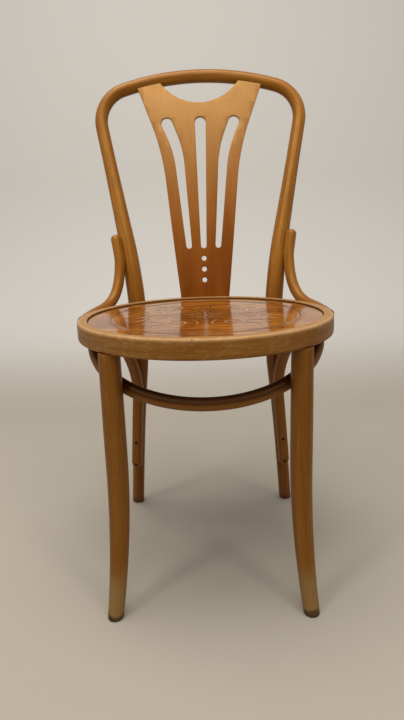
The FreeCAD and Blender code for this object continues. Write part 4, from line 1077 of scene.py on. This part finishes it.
def plyPanel(look):
    # Rotary-cut veneer with wide wavy figure, and darker stain in the pressed lines.
    finish = Finish("pressedSeat")
    place, pressed = finish.kept("grainPlace", "Vector"), finish.kept("pressed", "Fac")
    waves = finish.noise(place, (7.0, 11.0, 1.0), 3.0, 0.55, 1.2)
    figure = finish.add(
        "TexWave", {"wave_type": "BANDS", "bands_direction": "Y", "wave_profile": "SIN"},
        Vector=finish.stretched(place, (3.0, 17.0, 1.0)), Scale=1.0, Distortion=9.0, Detail=3.0,
        Detail_Scale=1.1, Detail_Roughness=0.55)
    grain = finish.noise(place, (60.0, 700.0, 1.0), 3.0, 0.6)
    oval = finish.stretched(place, (0.96, 1.0, 0.0))
    radius = finish.add("VectorMath", {"operation": "LENGTH"}, oval, out="Value")
    colour = finish.mix(waves.eased(0.3, 0.7), look["dark"], look["light"])
    colour = finish.mix(figure.eased(0.45, 0.9) * 0.75, colour, look["figure"])
    colour = finish.mix(grain.eased(0.4, 0.8) * 0.25, colour, look["fine"], "MULTIPLY")
    line = pressed.eased(0.02, 0.22) * (1.0 - pressed.eased(0.60, 0.95) * 0.8)
    line = line * (0.80 + waves * 0.5)
    colour = finish.mix(line.clipped(), colour, look["line"])
    colour = finish.mix(pressed.eased(0.6, 0.95) * 0.62, colour, look["leaf"])
    colour = finish.mix((0.066 - radius).eased(0.0, 0.030) * 0.55, colour, look["middle"])
    # dirt and painted shade round the panel's edge, in the gap against the ring
    colour = finish.mix(radius.eased(0.1845, 0.1868) * 0.8, colour, look["rim"])
    gloss = finish.noise(place, (24.0, 24.0, 1.0), 3.0, 0.6)
    wavy = finish.noise(place, (16.0, 22.0, 1.0), 2.0)
    finish.constant(
        Base_Color=colour, Roughness=(look["rough"] + (gloss - 0.5) * 0.10).clipped(),
        Normal=finish.bump(look["bump"], 0.0005, grain * 0.05 + wavy), Specular_Tint=varnishTint,
        Specular_IOR_Level=look["shine"], Coat_Weight=look["coat"], Coat_Roughness=look["coatRough"],
        Coat_IOR=1.5)
    return finish


blockLook = {"dark": (0.30, 0.18, 0.09), "light": (0.45, 0.30, 0.16), "rough": 0.62}
steelLooks = {
    "platedSteel": {"bright": (0.46, 0.44, 0.40), "dull": (0.20, 0.16, 0.12), "rough": 0.30},
    "darkSteel": {"bright": (0.060, 0.040, 0.028), "dull": (0.022, 0.012, 0.007), "rough": 0.45},
}


def rawWood(look):
    finish = Finish("rawBeech")
    streaks = finish.noise(finish.spot(), (30.0, 240.0, 900.0), 4.0, 0.6)
    colour = finish.mix(streaks.eased(0.3, 0.7), look["dark"], look["light"])
    finish.constant(Base_Color=colour, Roughness=look["rough"] + streaks * 0.15)
    return finish


def agedSteel(name):
    finish, look = Finish(name), steelLooks[name]
    tarnish = finish.noise(finish.spot(), 420.0, 4.0, 0.65)
    colour = finish.mix(tarnish.eased(0.35, 0.7), look["bright"], look["dull"])
    finish.constant(Base_Color=colour, Metallic=0.35 + tarnish.eased(0.7, 0.4) * 0.6,
                    Roughness=look["rough"] + tarnish * 0.25)
    return finish


print("finishes")
stainedWood("honeyBeech", woodLooks["hoop"]).dress(hoop, *strips)
stainedWood("bracketBeech", woodLooks["bracket"]).dress(*brackets)
stainedWood("legBeech", woodLooks["leg"]).dress(*legs)
stainedWood("ringBeech", woodLooks["ring"]).dress(ring)
stainedWood("seatShadedBowBeech", woodLooks["bow"]).dress(bow)
plySplat(splatLook).dress(splat)
plyPanel(seatLook).dress(panel)
rawWood(blockLook).dress(cad["corner_block_left"], cad["corner_block_right"])
agedSteel("platedSteel").dress(*[cad[name] for name in cad if name.startswith("back_bolt")])
agedSteel("darkSteel").dress(*[cad[name] for name in cad if name.endswith("screws")])

# Floor, backdrop, lights and camera
studio = {
    "floor": (0.370, 0.335, 0.280), "wall": (0.640, 0.620, 0.590), "fadeFrom": 0.7, "fadeTo": 2.0,
    "wallY": 2.3, "bend": 0.8, "frontY": -4.0, "height": 4.0, "side": 5.0,
    "worldColour": (1.0, 0.99, 0.97), "worldStrength": 0.42,
}
lamps = {  # place, aim, size, power and colour
    "ceilingLamp": ((-0.2, -0.2, 2.7), (0, 0.2, 0.4), (2.0, 1.4), 52, (1.0, 0.96, 0.90)),
    "leftLamp": ((-1.5, -1.6, 2.9), (0, 0.2, 0.7), (0.5, 0.9), 20, (1.0, 0.93, 0.84)),
    "rightLamp": ((1.3, -1.7, 2.9), (0, 0.2, 0.7), (0.5, 0.9), 13, (1.0, 0.93, 0.84)),
    "sheenLamp": ((-0.08, -2.2, 2.9), (0, 0.2, 0.8), (0.9, 0.35), 15, (1.0, 0.95, 0.88)),
}
# The camera stands at the photograph's height, distance and tilt. Turns are radians.
photoView = {"place": (0.0077, -1.0250, 0.6266), "lens": 29.47, "sensor": 36.0,
             "yaw": 0.0158, "pitch": -0.2482, "roll": 0.0330}


def buildBackdrop():
    # A floor that curves up into a wall.
    s = studio
    profile = [(s["frontY"], 0.0)]
    for turn in np.linspace(0.0, math.pi / 2, 13):
        profile.append((s["wallY"] - s["bend"] + s["bend"] * math.sin(turn),
                        s["bend"] * (1 - math.cos(turn))))
    profile.append((s["wallY"], s["height"]))
    mesh = bpy.data.meshes.new("backdrop")
    points = [(side, y, z) for y, z in profile for side in (-s["side"], s["side"])]
    faces = [(2 * n, 2 * n + 1, 2 * n + 3, 2 * n + 2) for n in range(len(profile) - 1)]
    mesh.from_pydata(points, [], faces)
    mesh.shade_smooth()
    backdrop = bpy.data.objects.new("backdrop", mesh)
    scene.collection.objects.link(backdrop)
    finish = Finish("paleBackdrop")
    rise = finish.part(finish.spot(), "Y").eased(s["fadeFrom"], s["fadeTo"])
    finish.constant(Base_Color=finish.mix(rise, s["floor"], s["wall"]), Roughness=0.85)
    finish.dress(backdrop)


def addLamp(name, place, aim, size, power, colour):
    lamp = bpy.data.lights.new(name, "AREA")
    lamp.shape = "RECTANGLE"
    lamp.size, lamp.size_y = size
    lamp.energy, lamp.color = power, colour
    holder = bpy.data.objects.new(name, lamp)
    holder.location = place
    holder.rotation_euler = (Vector(aim) - Vector(place)).to_track_quat("-Z", "Y").to_euler()
    scene.collection.objects.link(holder)


def addWorld():
    world = bpy.data.worlds.new("softLight")
    world.use_nodes = True
    sky = world.node_tree.nodes["Background"].inputs
    sky["Color"].default_value = (*studio["worldColour"], 1)
    sky["Strength"].default_value = studio["worldStrength"]
    scene.world = world


def addCamera():
    s = photoView
    view = bpy.data.cameras.new("photoView")
    view.lens, view.sensor_width, view.sensor_fit = s["lens"], s["sensor"], "AUTO"
    view.clip_start = 0.01
    camera = bpy.data.objects.new("photoView", view)
    turned = (Matrix.Rotation(s["yaw"], 3, "Z") @ Matrix.Rotation(s["pitch"], 3, "X")
              @ Matrix.Rotation(s["roll"], 3, "Y"))
    right, ahead, above = turned.col
    basis = Matrix((right, above, -ahead)).transposed().to_4x4()
    camera.matrix_world = Matrix.Translation(s["place"]) @ basis
    scene.collection.objects.link(camera)
    scene.camera = camera


print("studio")
buildBackdrop()
addWorld()
for name, lamp in lamps.items():
    addLamp(name, *lamp)
addCamera()
print("done")
